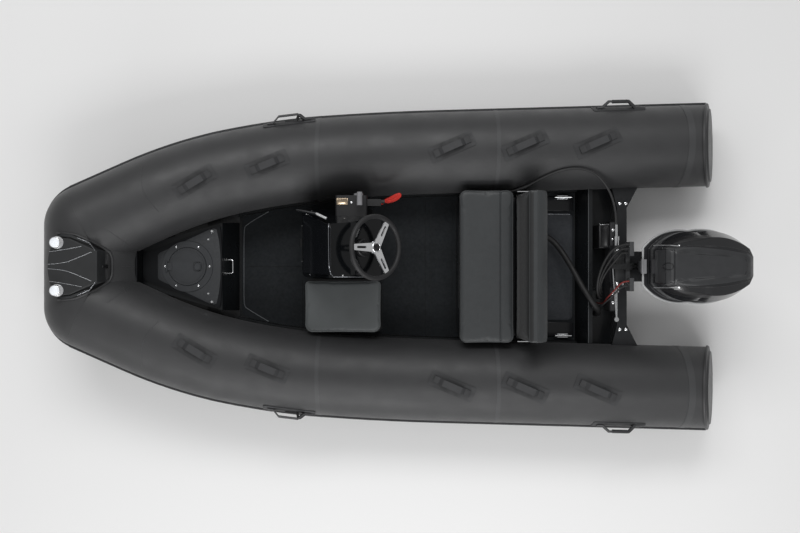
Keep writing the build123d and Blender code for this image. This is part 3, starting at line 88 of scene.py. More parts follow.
def applyPlace(piece):  # the object goes to the origin and its place into the mesh
    makeActive(piece)
    bpy.ops.object.transform_apply(location=True, rotation=True, scale=True)


def smooth(piece, angle):
    makeActive(piece)
    bpy.ops.object.shade_smooth_by_angle(angle=radians(angle))


def applyAll(piece, angle=None):  # with an angle, the surface is smoothed as well
    makeActive(piece)
    for modifier in list(piece.modifiers):
        bpy.ops.object.modifier_apply(modifier=modifier.name)
    if angle:
        smooth(piece, angle)


def editAll(piece, operator, **options):  # one edit-mode operator on the whole mesh
    makeActive(piece)
    bpy.ops.object.mode_set(mode="EDIT")
    bpy.ops.mesh.select_all(action="SELECT")
    operator(**options)
    bpy.ops.object.mode_set(mode="OBJECT")


def addWall(piece, thickness, offset=-1):
    wall = piece.modifiers.new("wall", "SOLIDIFY")
    wall.thickness, wall.offset = thickness, offset


def addEdge(piece, width, segments=2, angle=30):
    edge = piece.modifiers.new("edge", "BEVEL")
    edge.width, edge.segments, edge.angle_limit = width, segments, radians(angle)


def newCurve(name, kind, places, resolution=12):
    curve = bpy.data.curves.new(name, "CURVE")
    curve.dimensions = "3D"
    curve.resolution_u = resolution
    curve.use_fill_caps = True
    spline = curve.splines.new(kind)
    spline.points.add(len(places) - 1)
    for point, place in zip(spline.points, places):
        point.co = (*place, 1)
    if kind == "NURBS":
        spline.order_u = 3
        spline.use_endpoint_u = True
    piece = bpy.data.objects.new(name, curve)
    bpy.context.scene.collection.objects.link(piece)
    return piece


def lineOf(places, resolution):  # the places along a smooth curve through a row of corners
    route = newCurve("route", "NURBS", places, resolution)
    bpy.context.view_layer.update()
    line = [v.co.copy() for v in bpy.data.meshes.new_from_object(route).vertices]
    bpy.data.objects.remove(route)
    return line


def roundCurve(piece, radius, resolution):  # gives a curve its thickness and makes it a mesh
    piece.data.bevel_depth = radius
    piece.data.bevel_resolution = resolution
    makeActive(piece)
    bpy.ops.object.convert(target="MESH")
    smooth(bpy.context.object, 60)
    return bpy.context.object


def dress(piece, name, material, body, slotName, *replaced):
    piece.name = name
    piece.data.name = name
    piece.data.materials.clear()
    piece.data.materials.append(material)
    if piece.type == "MESH":
        applyPlace(piece)
    if body:  # a piece that bends between two bodies rides on neither
        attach(piece, body)
    if replaced:
        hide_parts(*replaced)
    return piece


# materials

def startMaterial(name, color, roughness, metallic=0.0):
    material = bpy.data.materials.new(name)
    material.use_nodes = True
    tree = material.node_tree
    shader = tree.nodes["Principled BSDF"]
    shader.inputs["Base Color"].default_value = (*color, 1)
    shader.inputs["Roughness"].default_value = roughness
    shader.inputs["Metallic"].default_value = metallic
    return material, tree, shader


def objectCoords(tree, scale):
    coords = tree.nodes.new("ShaderNodeTexCoord")
    mapping = tree.nodes.new("ShaderNodeMapping")
    mapping.inputs["Scale"].default_value = scale
    tree.links.new(coords.outputs["Object"], mapping.inputs["Vector"])
    return mapping.outputs["Vector"]


def noiseOf(tree, scale, detail):
    noise = tree.nodes.new("ShaderNodeTexNoise")
    noise.inputs["Scale"].default_value = 1.0
    noise.inputs["Detail"].default_value = detail
    size = scale if isinstance(scale, tuple) else (scale, scale, scale)
    tree.links.new(objectCoords(tree, size), noise.inputs["Vector"])
    return noise.outputs["Fac"]


def spanOf(tree, value, fromMin, fromMax, toMin, toMax):
    span = tree.nodes.new("ShaderNodeMapRange")
    for socket, number in (("From Min", fromMin), ("From Max", fromMax), ("To Min", toMin), ("To Max", toMax)):
        span.inputs[socket].default_value = number
    tree.links.new(value, span.inputs["Value"])
    return span.outputs["Result"]


def tintByNoise(tree, shader, color, spread, scale, wear):
    ramp = tree.nodes.new("ShaderNodeValToRGB")
    for element, place, share in zip(ramp.color_ramp.elements, (0.3, 0.7), (1 - spread, 1 + spread)):
        element.position = place
        element.color = (*[min(1, c * share) for c in color], 1)
    tree.links.new(noiseOf(tree, scale, 5.0), ramp.inputs["Fac"])
    colorOut = ramp.outputs["Color"]
    if wear:  # sharp edges are paler
        paler, amount = wear
        geometry = tree.nodes.new("ShaderNodeNewGeometry")
        mix = tree.nodes.new("ShaderNodeMixRGB")
        mix.inputs["Color2"].default_value = (*[min(1, c * paler) for c in color], 1)
        tree.links.new(spanOf(tree, geometry.outputs["Pointiness"], 0.53, 0.62, 0, amount), mix.inputs["Fac"])
        tree.links.new(colorOut, mix.inputs["Color1"])
        colorOut = mix.outputs["Color"]
    tree.links.new(colorOut, shader.inputs["Base Color"])


def mathOf(tree, operation, first, second):
    step = tree.nodes.new("ShaderNodeMath")
    step.operation = operation
    for value, socket in zip((first, second), step.inputs):
        if isinstance(value, (int, float)):
            socket.default_value = value
        else:
            tree.links.new(value, socket)
    return step.outputs[0]


def bumpFrom(tree, shader, heights, strength, distance):
    total = heights[0]
    for extra in heights[1:]:
        total = mathOf(tree, "ADD", total, extra)
    bump = tree.nodes.new("ShaderNodeBump")
    bump.inputs["Strength"].default_value = strength
    bump.inputs["Distance"].default_value = distance
    tree.links.new(total, bump.inputs["Height"])
    tree.links.new(bump.outputs["Normal"], shader.inputs["Normal"])


def grain(tree, scale, detail=3.0, weight=1.0):
    return mathOf(tree, "MULTIPLY", noiseOf(tree, scale, detail), weight)


def weave(tree, scale, direction, weight=1.0):
    wave = tree.nodes.new("ShaderNodeTexWave")
    wave.bands_direction = direction
    wave.inputs["Scale"].default_value = scale
    tree.links.new(objectCoords(tree, (1, 1, 1)), wave.inputs["Vector"])
    return mathOf(tree, "MULTIPLY", wave.outputs["Fac"], weight)


def pebble(tree, scale, weight=1.0):
    cells = tree.nodes.new("ShaderNodeTexVoronoi")
    cells.inputs["Scale"].default_value = 1.0
    tree.links.new(objectCoords(tree, (scale, scale, scale)), cells.inputs["Vector"])
    return mathOf(tree, "MULTIPLY", cells.outputs["Distance"], weight)


def skin(name, color, roughness, tint, gloss, heights, bump, wear=None, metallic=0.0, sockets=()):
    material, tree, shader = startMaterial(name, color, roughness, metallic)
    tintByNoise(tree, shader, color, *tint, wear)
    if gloss:
        low, high, scale = gloss
        tree.links.new(spanOf(tree, noiseOf(tree, scale, 4.0), 0.3, 0.7, low, high), shader.inputs["Roughness"])
    bumpFrom(tree, shader, [height(tree, *numbers) for height, *numbers in heights], *bump)
    for socket, value in sockets:
        shader.inputs[socket].default_value = value
    return material


def coatedFabric(name, color):
    return skin(name, color, 0.5, (0.08, 6), (0.42, 0.54, 9),
                [(weave, 420, "X"), (weave, 420, "Y"), (weave, 420, "Z"), (grain, 14, 3, 2.0)], (0.12, 0.0006),
                sockets=(("Specular IOR Level", 0.45), ("Sheen Weight", 0.05)))


def mouldedRubber(name, color, fineness=260):
    return skin(name, color, 0.6, (0.12, 18), (0.52, 0.68, 30), [(grain, fineness, 4)], (0.25, 0.0005), (2.2, 0.5))


def gelcoat(name, color, roughness=0.18, specular=0.3, coat=0.1):
    return skin(name, color, roughness, (0.1, 5), (roughness * 0.85, roughness * 1.3, 12),
                [(grain, 7, 2, 1.0), (grain, 240, 2, 0.05)], (0.08, 0.0012), (1.6, 0.3),
                sockets=(("Specular IOR Level", specular), ("Coat Weight", coat), ("Coat Roughness", 0.08)))


def vinylHide(name, color):
    return skin(name, color, 0.5, (0.07, 10), (0.44, 0.56, 40), [(pebble, 620, 0.7), (grain, 60, 4, 0.6)],
                (0.28, 0.0005), sockets=(("Sheen Weight", 0.08),))


def foamMat(name, color):
    return skin(name, color, 0.8, (0.16, 26), (0.7, 0.86, 60), [(weave, 130, "DIAGONAL", 0.5), (pebble, 420, 0.7)],
                (0.35, 0.0006), sockets=(("Specular IOR Level", 0.3),))


def nonSlip(name, color):
    return skin(name, color, 0.65, (0.1, 16), (0.55, 0.75, 80), [(pebble, 300)], (0.5, 0.0008))


def grainedPlastic(name, color, roughness=0.45):
    return skin(name, color, roughness, (0.1, 20), (roughness * 0.85, roughness * 1.2, 50), [(grain, 500, 3)],
                (0.2, 0.0003), (1.8, 0.4))


def metalSkin(name, color, roughness):
    return skin(name, color, roughness, (0.06, 14), (roughness * 0.7, roughness * 1.4, 60),
                [(grain, (30, 30, 400), 3)], (0.08, 0.0002), metallic=1.0)


def motorPaint(name, color, roughness=0.3):
    return skin(name, color, roughness, (0.08, 8), (roughness * 0.85, roughness * 1.2, 30), [(grain, 900, 2)],
                (0.06, 0.0002), (2.0, 0.5), sockets=(("Coat Weight", 0.25), ("Coat Roughness", 0.12)))


def smokedAcrylic(name, color):
    return skin(name, color, 0.06, (0.05, 6), None, [(grain, 5, 2)], (0.04, 0.001),
                sockets=(("Transmission Weight", 0.6), ("IOR", 1.49)))


finishes = {
    "tube_fabric": coatedFabric("tubeFabric", (0.034, 0.0345, 0.036)),
    "strake_rubber": mouldedRubber("strakeRubber", (0.018, 0.0185, 0.02)),
    "handle_rubber": mouldedRubber("handleRubber", (0.020, 0.0205, 0.022)),
    "hull_gelcoat": gelcoat("hullGelcoat", (0.02, 0.021, 0.023)),
    "liner_gelcoat": gelcoat("linerGelcoat", (0.006, 0.007, 0.008), 0.3),
    "trim_aluminium": metalSkin("trimAluminium", (0.04, 0.041, 0.043), 0.42),
    "pad_plastic": grainedPlastic("padPlastic", (0.022, 0.022, 0.024)),
    "deck_composite": nonSlip("deckComposite", (0.026, 0.028, 0.031)),
    "hatch_plastic": grainedPlastic("hatchPlastic", (0.024, 0.026, 0.029)),
    "step_rubber": mouldedRubber("stepRubber", (0.014, 0.015, 0.016), 420),
    "console_gelcoat": gelcoat("consoleGelcoat", (0.003, 0.0034, 0.004), 0.1),
    "smoked_glass": smokedAcrylic("smokedAcrylic", (0.02, 0.022, 0.026)),
    "wheel_rubber": mouldedRubber("wheelRubber", (0.012, 0.012, 0.013), 500),
    "bright_steel": metalSkin("brightSteel", (0.92, 0.93, 0.95), 0.16),
    "control_plastic": grainedPlastic("controlPlastic", (0.006, 0.006, 0.007)),
    "lever_plastic": grainedPlastic("leverPlastic", (0.2, 0.2, 0.21)),
    "seat_vinyl": vinylHide("seatVinyl", (0.062, 0.068, 0.070)),
    "bench_vinyl": vinylHide("benchVinyl", (0.028, 0.031, 0.033)),
    "floor_mat": foamMat("floorMat", (0.008, 0.010, 0.012)),
    "motor_paint": motorPaint("motorPaint", (0.014, 0.0145, 0.0155)),
    "cowl_paint": motorPaint("cowlPaint", (0.010, 0.0105, 0.012), 0.2),
    "brushed_tube": metalSkin("brushedTube", (0.6, 0.61, 0.62), 0.25),
    "clip_plastic": grainedPlastic("clipPlastic", (0.035, 0.036, 0.038)),
    "propeller_paint": motorPaint("propellerPaint", (0.03, 0.03, 0.032), 0.35),
    "cable_rubber": mouldedRubber("cableRubber", (0.018, 0.018, 0.019), 600),
    "hose_plastic": mouldedRubber("hosePlastic", (0.008, 0.008, 0.0085), 600),
    "cable_red": mouldedRubber("cableRed", (0.16, 0.016, 0.013), 600),
    "lanyard_red": grainedPlastic("lanyardRed", (0.55, 0.03, 0.02)),
}


def repaint(nodeName, material):
    node = nodes[nodeName]
    if not node.material_slots:
        node.data.materials.append(material)
    for slot in node.material_slots:
        slot.material = material


for part in frame["record"]["subparts"]:
    repaint(part["node"], finishes[part["material_slot"]])
print("materials on the CAD nodes")


# cords, along the same points as their solids

def cordCurve(name, settings, body="boat", bends=None):
    points = [[c / 1000 for c in place] for place in settings["points"]]
    radius, slotName, nodeName = settings["radius"], settings["slot"], settings["node"]
    line = lineOf(points, 10)
    piece = newCurve(name, "NURBS", points, 10)
    if not bends:
        piece.data.bevel_depth = radius
        piece.data.bevel_resolution = 6
        dress(piece, name, finishes[slotName], body, slotName, nodeName)
        return
    piece = dress(roundCurve(piece, radius, 6), name, finishes[slotName], None, slotName, nodeName)
    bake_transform(piece)  # no body carries it; its place is baked into the mesh


clipFace, glandTop = -1298.7, 148.6


def hosePoints(side, height, downSide, spread, bendZ):
    over = downSide - side
    return [(clipFace, side, height), (clipFace + 34, side, height), (-1226 + spread, side + 0.1 * over, height + 4),
            (-1184 + spread, side + 0.3 * over, height - 2), (-1152 + 0.8 * spread, side + 0.54 * over, height - 18),
            (-1144 + 0.6 * spread, side + 0.77 * over, height - 52), (-1156 + 0.4 * spread, side + 0.92 * over, bendZ),
            (-1178 + 0.2 * spread, side + 0.98 * over, 330), (-1198, downSide - 1, 268), (-1202, downSide, 208),
            (-1202, downSide, glandTop)]


hoseRuns = {"Upper": (-126, 492, 191, 24, 396), "Middle": (-102, 476, 172, 0, 386), "Lower": (-78, 460, 153, -24, 376)}
cordRoutes = {
    "steeringCable": {"node": "steering_cable", "radius": 0.007, "slot": "cable_rubber", "stiffness": "stiff",
                      "points": [(-1255, -243.3, 380), (-1255, -296, 380), (-1236, -380, 396), (-1200, -446, 424),
                                 (-1146, -506, 458), (-1080, -546, 478), (-996, -560, 484), (-908, -546, 474),
                                 (-826, -512, 448), (-752, -470, 408), (-690, -448, 362), (-634, -438, 316),
                                 (-590, -434, 278), (-562, -424, 252), (-562, -400.3, 252)]},
    "engineConduit": {"node": "engine_conduit", "radius": 0.017, "slot": "hose_plastic", "stiffness": "stiff",
                      "points": [(-790.3, -200, 170), (-850, -200, 170), (-915, -170, 176), (-965, -110, 196),
                                 (-1005, -40, 226), (-1040, 34, 262), (-1070, 106, 300), (-1104, 170, 330),
                                 (-1140, 222, 330), (-1170, 258, 300), (-1186, 280, 250), (-1190, 286, 200),
                                 (-1190, 286, glandTop)]},
    **{"riggingHose" + name: {"node": "rigging_hose_" + name.lower(), "radius": 0.007, "slot": "hose_plastic",
                              "points": hosePoints(*numbers)} for name, numbers in hoseRuns.items()},
    "batteryCableRed": {"node": "battery_cable_red", "radius": 0.0045, "slot": "cable_red",
                        "points": [(clipFace, 84, 488), (clipFace + 22, 84, 488), (-1250, 98, 486),
                                   (-1228, 128, 470), (-1210, 158, 440), (-1196, 184, 400), (-1196, 206, 354),
                                   (-1198, 218, 305), (-1200, 221, 255), (-1201, 222, 201), (-1201, 222, glandTop)]},
    "batteryCableBlack": {"node": "battery_cable_black", "radius": 0.0045, "slot": "cable_rubber",
                          "points": [(clipFace, 112, 468), (clipFace + 22, 112, 468), (-1250, 128, 464),
                                     (-1224, 160, 452), (-1204, 188, 426), (-1188, 210, 388), (-1186, 226, 346),
                                     (-1185, 234, 300), (-1184, 236, 250), (-1183, 236, 199), (-1183, 236, glandTop)]},
}
tiltBend = {"to": "swivel", "start": (-1.16, 0, 0.30), "end": (-1.29, 0, 0.49)}
for cordName, route in cordRoutes.items():
    fromMotor = route["points"][0][0] == clipFace
    cordCurve(cordName, route, bends=tiltBend if fromMotor else None)
print("cords laid")


# curly stop cord: a helix around the middle line of its route
lanyardSettings = {"coilRadius": 0.0085, "strandRadius": 0.0022, "pitch": 0.0062, "perTurn": 14, "easing": 0.012,
                   "points": [(83.7, -358.3, 600), (58, -358.3, 600), (22, -372.3, 592), (0, -396.3, 568),
                              (6, -404.3, 530), (34, -396.3, 498), (74, -376.3, 484), (110, -358.3, 492),
                              (128, -352.3, 520), (128, -352.3, 549.7)]}


def curlyCord(name, settings, slotName, nodeName):
    line = lineOf([[c / 1000 for c in place] for place in settings["points"]], 16)
    steps = [0.0]
    for a, b in zip(line[:-1], line[1:]):
        steps.append(steps[-1] + (b - a).length)
    total = steps[-1]
    turns = total / settings["pitch"]
    count = int(turns * settings["perTurn"])
    side = Vector((0, 0, 1))
    coil = []
    for i in range(count + 1):
        along = total * i / count
        k = max(j for j in range(len(steps)) if steps[j] <= along + 1e-9)
        k = min(k, len(line) - 2)
        share = (along - steps[k]) / max(1e-9, steps[k + 1] - steps[k])
        centre = line[k].lerp(line[k + 1], share)
        tangent = (line[k + 1] - line[k]).normalized()
        side = (side - tangent * side.dot(tangent)).normalized()
        turn = 2 * pi * turns * i / count
        ease = min(1, along / settings["easing"], (total - along) / settings["easing"])  # narrow at both ends
        radius = settings["coilRadius"] * max(0.05, ease)
        coil.append(centre + side * cos(turn) * radius + tangent.cross(side) * sin(turn) * radius)
    piece = roundCurve(newCurve(name, "POLY", coil), settings["strandRadius"], 2)
    dress(piece, name, finishes[slotName], "boat", slotName, nodeName)


curlyCord("stopLanyard", lanyardSettings, "lanyard_red", "stop_lanyard")
print("stop cord curled")


# padded pieces: a copy of the solid, filled with air, then flattened where it rests

def padFrom(nodeName, settings):
    source = nodes[nodeName]
    pad = bpy.data.objects.new(settings["name"], source.data.copy())
    bpy.context.scene.collection.objects.link(pad)
    makeActive(pad)
    pad.matrix_world = Matrix.Identity(4)
    low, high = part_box(nodeName)
    middle = (Vector(low) + Vector(high)) / 2
    for v in pad.data.vertices:
        for axis in range(3):
            span = (high[axis] - low[axis]) / 2
            v.co[axis] = middle[axis] + (v.co[axis] - middle[axis]) * (span - settings["tuck"]) / span
    remesh = pad.modifiers.new("voxels", "REMESH")
    remesh.mode = "VOXEL"
    remesh.voxel_size = settings["voxel"]
    bpy.ops.object.modifier_apply(modifier="voxels")
    start = [v.co.copy() for v in pad.data.vertices]
    cloth = pad.modifiers.new("air", "CLOTH")
    air = {"use_pressure": True, "uniform_pressure_force": settings["pressure"], "quality": 5,
           "tension_stiffness": 8, "compression_stiffness": 8, "bending_stiffness": settings["stiffness"]}
    for setting, value in air.items():
        setattr(cloth.settings, setting, value)
    cloth.settings.effector_weights.gravity = 0
    cloth.collision_settings.use_collision = False
    for frameNumber in range(1, 21):
        bpy.context.scene.frame_set(frameNumber)
    bpy.ops.object.modifier_apply(modifier="air")
    bpy.context.scene.frame_set(1)
    for v, rest in zip(pad.data.vertices, start):
        moved = v.co - rest
        if moved.length > settings["cap"]:
            v.co = rest + moved.normalized() * settings["cap"]
        if v.co.z < low[2] + settings["lift"]:
            v.co.z = low[2] + settings["lift"]
    subdivide = pad.modifiers.new("finer", "SUBSURF")
    subdivide.levels = subdivide.render_levels = 1
    applyAll(pad)
    if "seam" in settings:
        pressSeam(pad, settings["seam"])
    smooth(pad, 60)
    dress(pad, settings["name"], finishes[settings["slot"]], settings["body"], settings["slot"], nodeName)
    return pad


def pressSeam(pad, seam):  # a sewn line across the boat, pressed into the top
    for v in pad.data.vertices:
        away = abs(v.co.x - seam["x"])
        if away < seam["half"] and v.normal.z > 0.35:
            share = 1 - away / seam["half"]
            v.co.z -= seam["depth"] * share * share * (3 - 2 * share)


padFilling = {"tuck": 0.006, "pressure": 4.0, "cap": 0.007, "lift": 0.0005, "stiffness": 2.0, "fill": 0.8}
padSettings = {
    "side_seat_pad": {"name": "sideSeatCushion", "slot": "seat_vinyl", "body": "seat_cover", "voxel": 0.005},
    "bench_cushion": {"name": "benchSeatCushion", "slot": "bench_vinyl", "body": "bench_cover", "voxel": 0.006,
                      "seam": {"x": -0.578, "half": 0.008, "depth": 0.005}},
    "bench_back": {"name": "benchBackRest", "slot": "bench_vinyl", "body": "boat", "voxel": 0.008},
}
for padNode, settings in padSettings.items():
    padFrom(padNode, {**padFilling, **settings})
print("cushions filled")

# helpers that lay trim on the surfaces below it

surfaceTrees = {}


def surfaceOf(name):
    if name not in surfaceTrees:
        mesh = (nodes[name] if name in nodes else bpy.data.objects[name]).data
        surfaceTrees[name] = BVHTree.FromPolygons([v.co.copy() for v in mesh.vertices],
                                                  [tuple(p.vertices) for p in mesh.polygons])
    return surfaceTrees[name]


def hitOn(names, origin, direction, reach=3.0):
    best = None
    for name in names:
        place, normal, _, distance = surfaceOf(name).ray_cast(Vector(origin), Vector(direction).normalized(), reach)
        if place is not None and (best is None or distance < best[2]):
            best = (place, -normal if normal.dot(Vector(direction)) > 0 else normal, distance)
    return best


def below(names, x, y):  # the first surface met on the way down
    return hitOn(names, (x, y, 1.5), (0, 0, -1))


def beadAlong(name, places, radius, slotName, body, closed=False, material=None):
    curve = newCurve(name, "POLY", places)
    curve.data.splines[0].use_cyclic_u = closed
    return dress(roundCurve(curve, radius, 3), name, material or finishes[slotName], body, slotName)


def softPath(corners):  # an even run of places along a smooth line
    return evenly(lineOf([(x, y, 0) for x, y in corners], 12), 0.012)


def seamAlong(name, corners, names, lift, radius, slotName, body="boat", material=None):
    return beadAlong(name, laidDown(softPath(corners), names, lift), radius, slotName, body, False, material)


def oval(x, y, halfX, halfY, step, z=0.0):
    return [Vector((x + halfX * cos(radians(a)), y + halfY * sin(radians(a)), z)) for a in range(0, 360, step)]


def evenly(places, step):
    out = [Vector(places[0])]
    for a, b in zip(places[:-1], places[1:]):
        a, b = Vector(a), Vector(b)
        parts = max(1, int(round((b - a).length / step)))
        out += [a.lerp(b, k / parts) for k in range(1, parts + 1)]
    return out


def laidDown(places, names, lift):
    hits = [below(names, place[0], place[1]) for place in places]
    return [hit[0] + hit[1] * lift for hit in hits if hit]


def selectFaces(piece, test):  # leaves edit mode open with the faces that pass selected
    makeActive(piece)
    bpy.ops.object.mode_set(mode="EDIT")
    bpy.ops.mesh.select_all(action="DESELECT")
    bpy.ops.mesh.select_mode(type="FACE")
    shape = bmesh.from_edit_mesh(piece.data)
    for face in shape.faces:
        if test(face):
            face.select_set(True)
    bmesh.update_edit_mesh(piece.data)


def insetFaces(piece, test, *steps):  # each step is an inset's thickness and depth
    selectFaces(piece, test)
    for thickness, depth in steps:
        bpy.ops.mesh.inset(thickness=thickness, depth=depth)
    bpy.ops.object.mode_set(mode="OBJECT")


def facesUp(face):
    return face.normal.z > 0.9


def levelFaces(face):
    return face.normal.z > 0.95


def block(name, settings, material, slotName, body="boat", test=levelFaces):
    low, high = settings["low"], settings["high"]
    piece = newPiece(bpy.ops.mesh.primitive_cube_add, size=1, location=[(a + b) / 2 for a, b in zip(low, high)])
    piece.scale = [b - a for a, b in zip(low, high)]
    applyPlace(piece)
    addEdge(piece, settings["bevel"], 3)
    applyAll(piece, 40)
    if "insets" in settings:
        insetFaces(piece, test, *settings["insets"])
    return dress(piece, name, material, body, slotName)


def panel(settings):  # a plate of any outline, from a filled ring
    piece = newPiece(bpy.ops.mesh.primitive_circle_add, vertices=len(settings["outline"]), radius=1, fill_type="NGON")
    for vertex, place in zip(piece.data.vertices, settings["outline"]):
        vertex.co = (*place, settings["low"])
    rise = (0, 0, settings["high"] - settings["low"])
    editAll(piece, bpy.ops.mesh.extrude_region_move, TRANSFORM_OT_translate={"value": rise})
    editAll(piece, bpy.ops.mesh.normals_make_consistent, inside=False)
    if "insets" in settings:
        insetFaces(piece, facesUp, *settings["insets"])
    addEdge(piece, settings["bevel"], 2, 25)
    applyAll(piece, 30)
    return piece


def draped(name, settings, names, material, slotName, body):
    # a thin skin that follows the surface below; each row is x and its two ends in y
    rows, across, along = settings["rows"], settings.get("across", 14), settings.get("along", 0.012)
    stations = []
    for a, b in zip(rows[:-1], rows[1:]):
        count = max(1, int(abs(b[0] - a[0]) / along))
        stations += [[p + (q - p) * k / count for p, q in zip(a, b)] for k in range(count)]
    stations.append(list(rows[-1]))
    piece = newPiece(bpy.ops.mesh.primitive_grid_add, x_subdivisions=len(stations) - 1, y_subdivisions=across, size=2)
    for vertex in piece.data.vertices:
        x, low, high = stations[int(round((vertex.co.x + 1) / 2 * (len(stations) - 1)))]
        y = low + (high - low) * (vertex.co.y + 1) / 2
        hit = below(names, x, y)
        vertex.co = hit[0] + hit[1] * settings["lift"] if hit else Vector((x, y, 0.4))
    editAll(piece, bpy.ops.mesh.normals_make_consistent, inside=False)
    if sum(face.normal.z for face in piece.data.polygons) < 0:
        editAll(piece, bpy.ops.mesh.flip_normals)
    addWall(piece, settings["wall"])
    addEdge(piece, settings["wall"] * 0.3, 2, 50)
    applyAll(piece, 40)
    return dress(piece, name, material, body, slotName)


def roundedRing(x0, x1, y0, y1, corner, perCorner=6):
    spots = [(x1 - corner, y1 - corner, 0), (x0 + corner, y1 - corner, 90), (x0 + corner, y0 + corner, 180),
             (x1 - corner, y0 + corner, 270)]
    turns = [(cx, cy, radians(start + 90 * k / perCorner)) for cx, cy, start in spots for k in range(perCorner + 1)]
    return [(cx + corner * cos(turn), cy + corner * sin(turn)) for cx, cy, turn in turns]


def panHead(radius, height):  # a screw head with a pressed drive
    head = newPiece(bpy.ops.mesh.primitive_cylinder_add, vertices=20, radius=radius, depth=height,
                    location=(0, 0, height / 2))
    insetFaces(head, facesUp, (radius * 0.3, height * 0.25), (radius * 0.28, 0), (radius * 0.06, -height * 0.45))
    smooth(head, 35)
    return head


def turned(place, facing, axis="Z", up="Y"):
    return Matrix.Translation(place) @ Vector(facing).to_track_quat(axis, up).to_matrix().to_4x4()


def copyTo(pattern, seats):  # joined copies of the pattern, one at each seat
    copies = []
    for seat in seats:
        copy = pattern.copy()
        copy.data = pattern.data.copy()
        bpy.context.scene.collection.objects.link(copy)
        copy.matrix_world = seat
        copies.append(copy)
    bpy.data.objects.remove(pattern)
    deselectAll()
    for copy in copies:
        copy.select_set(True)
    bpy.context.view_layer.objects.active = copies[0]
    bpy.ops.object.join()
    return bpy.context.object


def screws(name, settings, slotName="bright_steel", body="boat"):
    hits = [below(settings["on"], spot[0], spot[1]) for spot in settings["spots"]]
    seats = [turned(hit[0], hit[1]) for hit in hits if hit]
    heads = copyTo(panHead(settings["radius"], settings["height"]), seats)
    return dress(heads, name, finishes[slotName], body, slotName)


bothSides = ((1, "Port"), (-1, "Starboard"))

# bow: fabric bridge between the tubes, tread plate, seams, painted shade behind the step

bridgeSettings = {"aft": 1.500, "fore": 1.668, "lowZ": 0.455, "highZ": 0.628, "sag": 0.016, "bulge": 0.012,
                  "tuckIn": 0.012, "wall": 0.008, "edge": 0.003}
fabricSeam = coatedFabric("fabricSeam", (0.045, 0.046, 0.048))
deepBlack = grainedPlastic("deepBlackPlastic", (0.006, 0.006, 0.007), 0.42)


def bowBridge(settings):
    piece = newPiece(bpy.ops.mesh.primitive_grid_add, x_subdivisions=14, y_subdivisions=20, size=2)
    for vertex in piece.data.vertices:
        along = (vertex.co.x + 1) / 2
        x = settings["aft"] + (settings["fore"] - settings["aft"]) * along
        rise = sin(along * pi / 2)
        z = settings["lowZ"] + (settings["highZ"] - settings["lowZ"]) * rise
        hit = hitOn(["tubes"], (x, 0, z), (0, 1, 0), 0.6)
        half = (hit[0].y if hit else 0.02) + settings["tuckIn"]
        across = vertex.co.y
        vertex.co = (x + settings["bulge"] * (1 - across * across) * (1 - along), across * half,
                     z - settings["sag"] * (1 - across * across) + 0.004)
    addWall(piece, settings["wall"])
    addEdge(piece, settings["edge"])
    applyAll(piece, 40)
    return dress(piece, "bowBridge", finishes["tube_fabric"], "boat", "tube_fabric")


bowBridge(bridgeSettings)
bowTops = ["tubes", "bow_step", "step_rim", "bowBridge"]
collarSettings = {"radius": 0.008, "lift": 0.001, "step": 0.008}
halfCollar = [(1.852, 0.176), (1.800, 0.178), (1.745, 0.170), (1.700, 0.150), (1.655, 0.122), (1.624, 0.100),
              (1.606, 0.078), (1.600, 0.050)]
collarCorners = [(x, -y, 0) for x, y in halfCollar] + [(x, y, 0) for x, y in reversed(halfCollar)]
beadAlong("bowCollar", laidDown(evenly(collarCorners, collarSettings["step"]), bowTops, collarSettings["lift"]),
          collarSettings["radius"], "tube_fabric", "boat")
# a thin deep-black sheet laid on the bridge behind the step: painted shade of the recess there
shadeSheetSettings = {"rows": [(1.6215, -0.078, 0.078), (1.612, -0.070, 0.070), (1.606, -0.056, 0.056)], "lift": 0.003,
                  "wall": 0.002, "along": 0.004}
draped("stepRecessPaintedShade", shadeSheetSettings, ["bowBridge", "tubes"], deepBlack, "step_rubber", "boat")
# the lens has a weak emission: a painted glow that brightens it in place of the light it reflects
lampGlassPaintedGlow = skin("lampGlassPaintedGlow", (0.84, 0.87, 0.92), 0.08, (0.1, 160), None, [(pebble, 150)], (0.7, 0.002),
                 sockets=(("Emission Color", (0.9, 0.94, 1, 1)), ("Emission Strength", 0.12)))
lampSettings = {"x": 1.838, "y": 0.128, "radius": 0.0265, "flat": 0.42, "sunk": 0.004, "cut": 0.006, "ring": 0.0024}
for side, tag in bothSides:
    x, y, radius = lampSettings["x"], side * lampSettings["y"], lampSettings["radius"]
    top = below(["bright_fittings", "bow_step"], x, y)[0].z
    lens = newPiece(bpy.ops.mesh.primitive_uv_sphere_add, segments=32, ring_count=16, radius=radius,
                    location=(x, y, top - lampSettings["sunk"]))
    lens.scale = (1, 1, lampSettings["flat"])
    applyPlace(lens)
    editAll(lens, bpy.ops.mesh.bisect, plane_co=(0, 0, top - lampSettings["cut"]), plane_no=(0, 0, 1),
            clear_inner=True, use_fill=True)
    smooth(lens, 50)
    dress(lens, "bowLampLens" + tag, lampGlassPaintedGlow, "boat", "bright_steel")
    beadAlong("bowLampRing" + tag, oval(x, y, radius, radius, 10, top - lampSettings["sunk"]), lampSettings["ring"],
              "bright_steel", "boat", True)
treadSettings = {"radius": 0.0017, "edge": 0.0022, "seam": 0.0015}
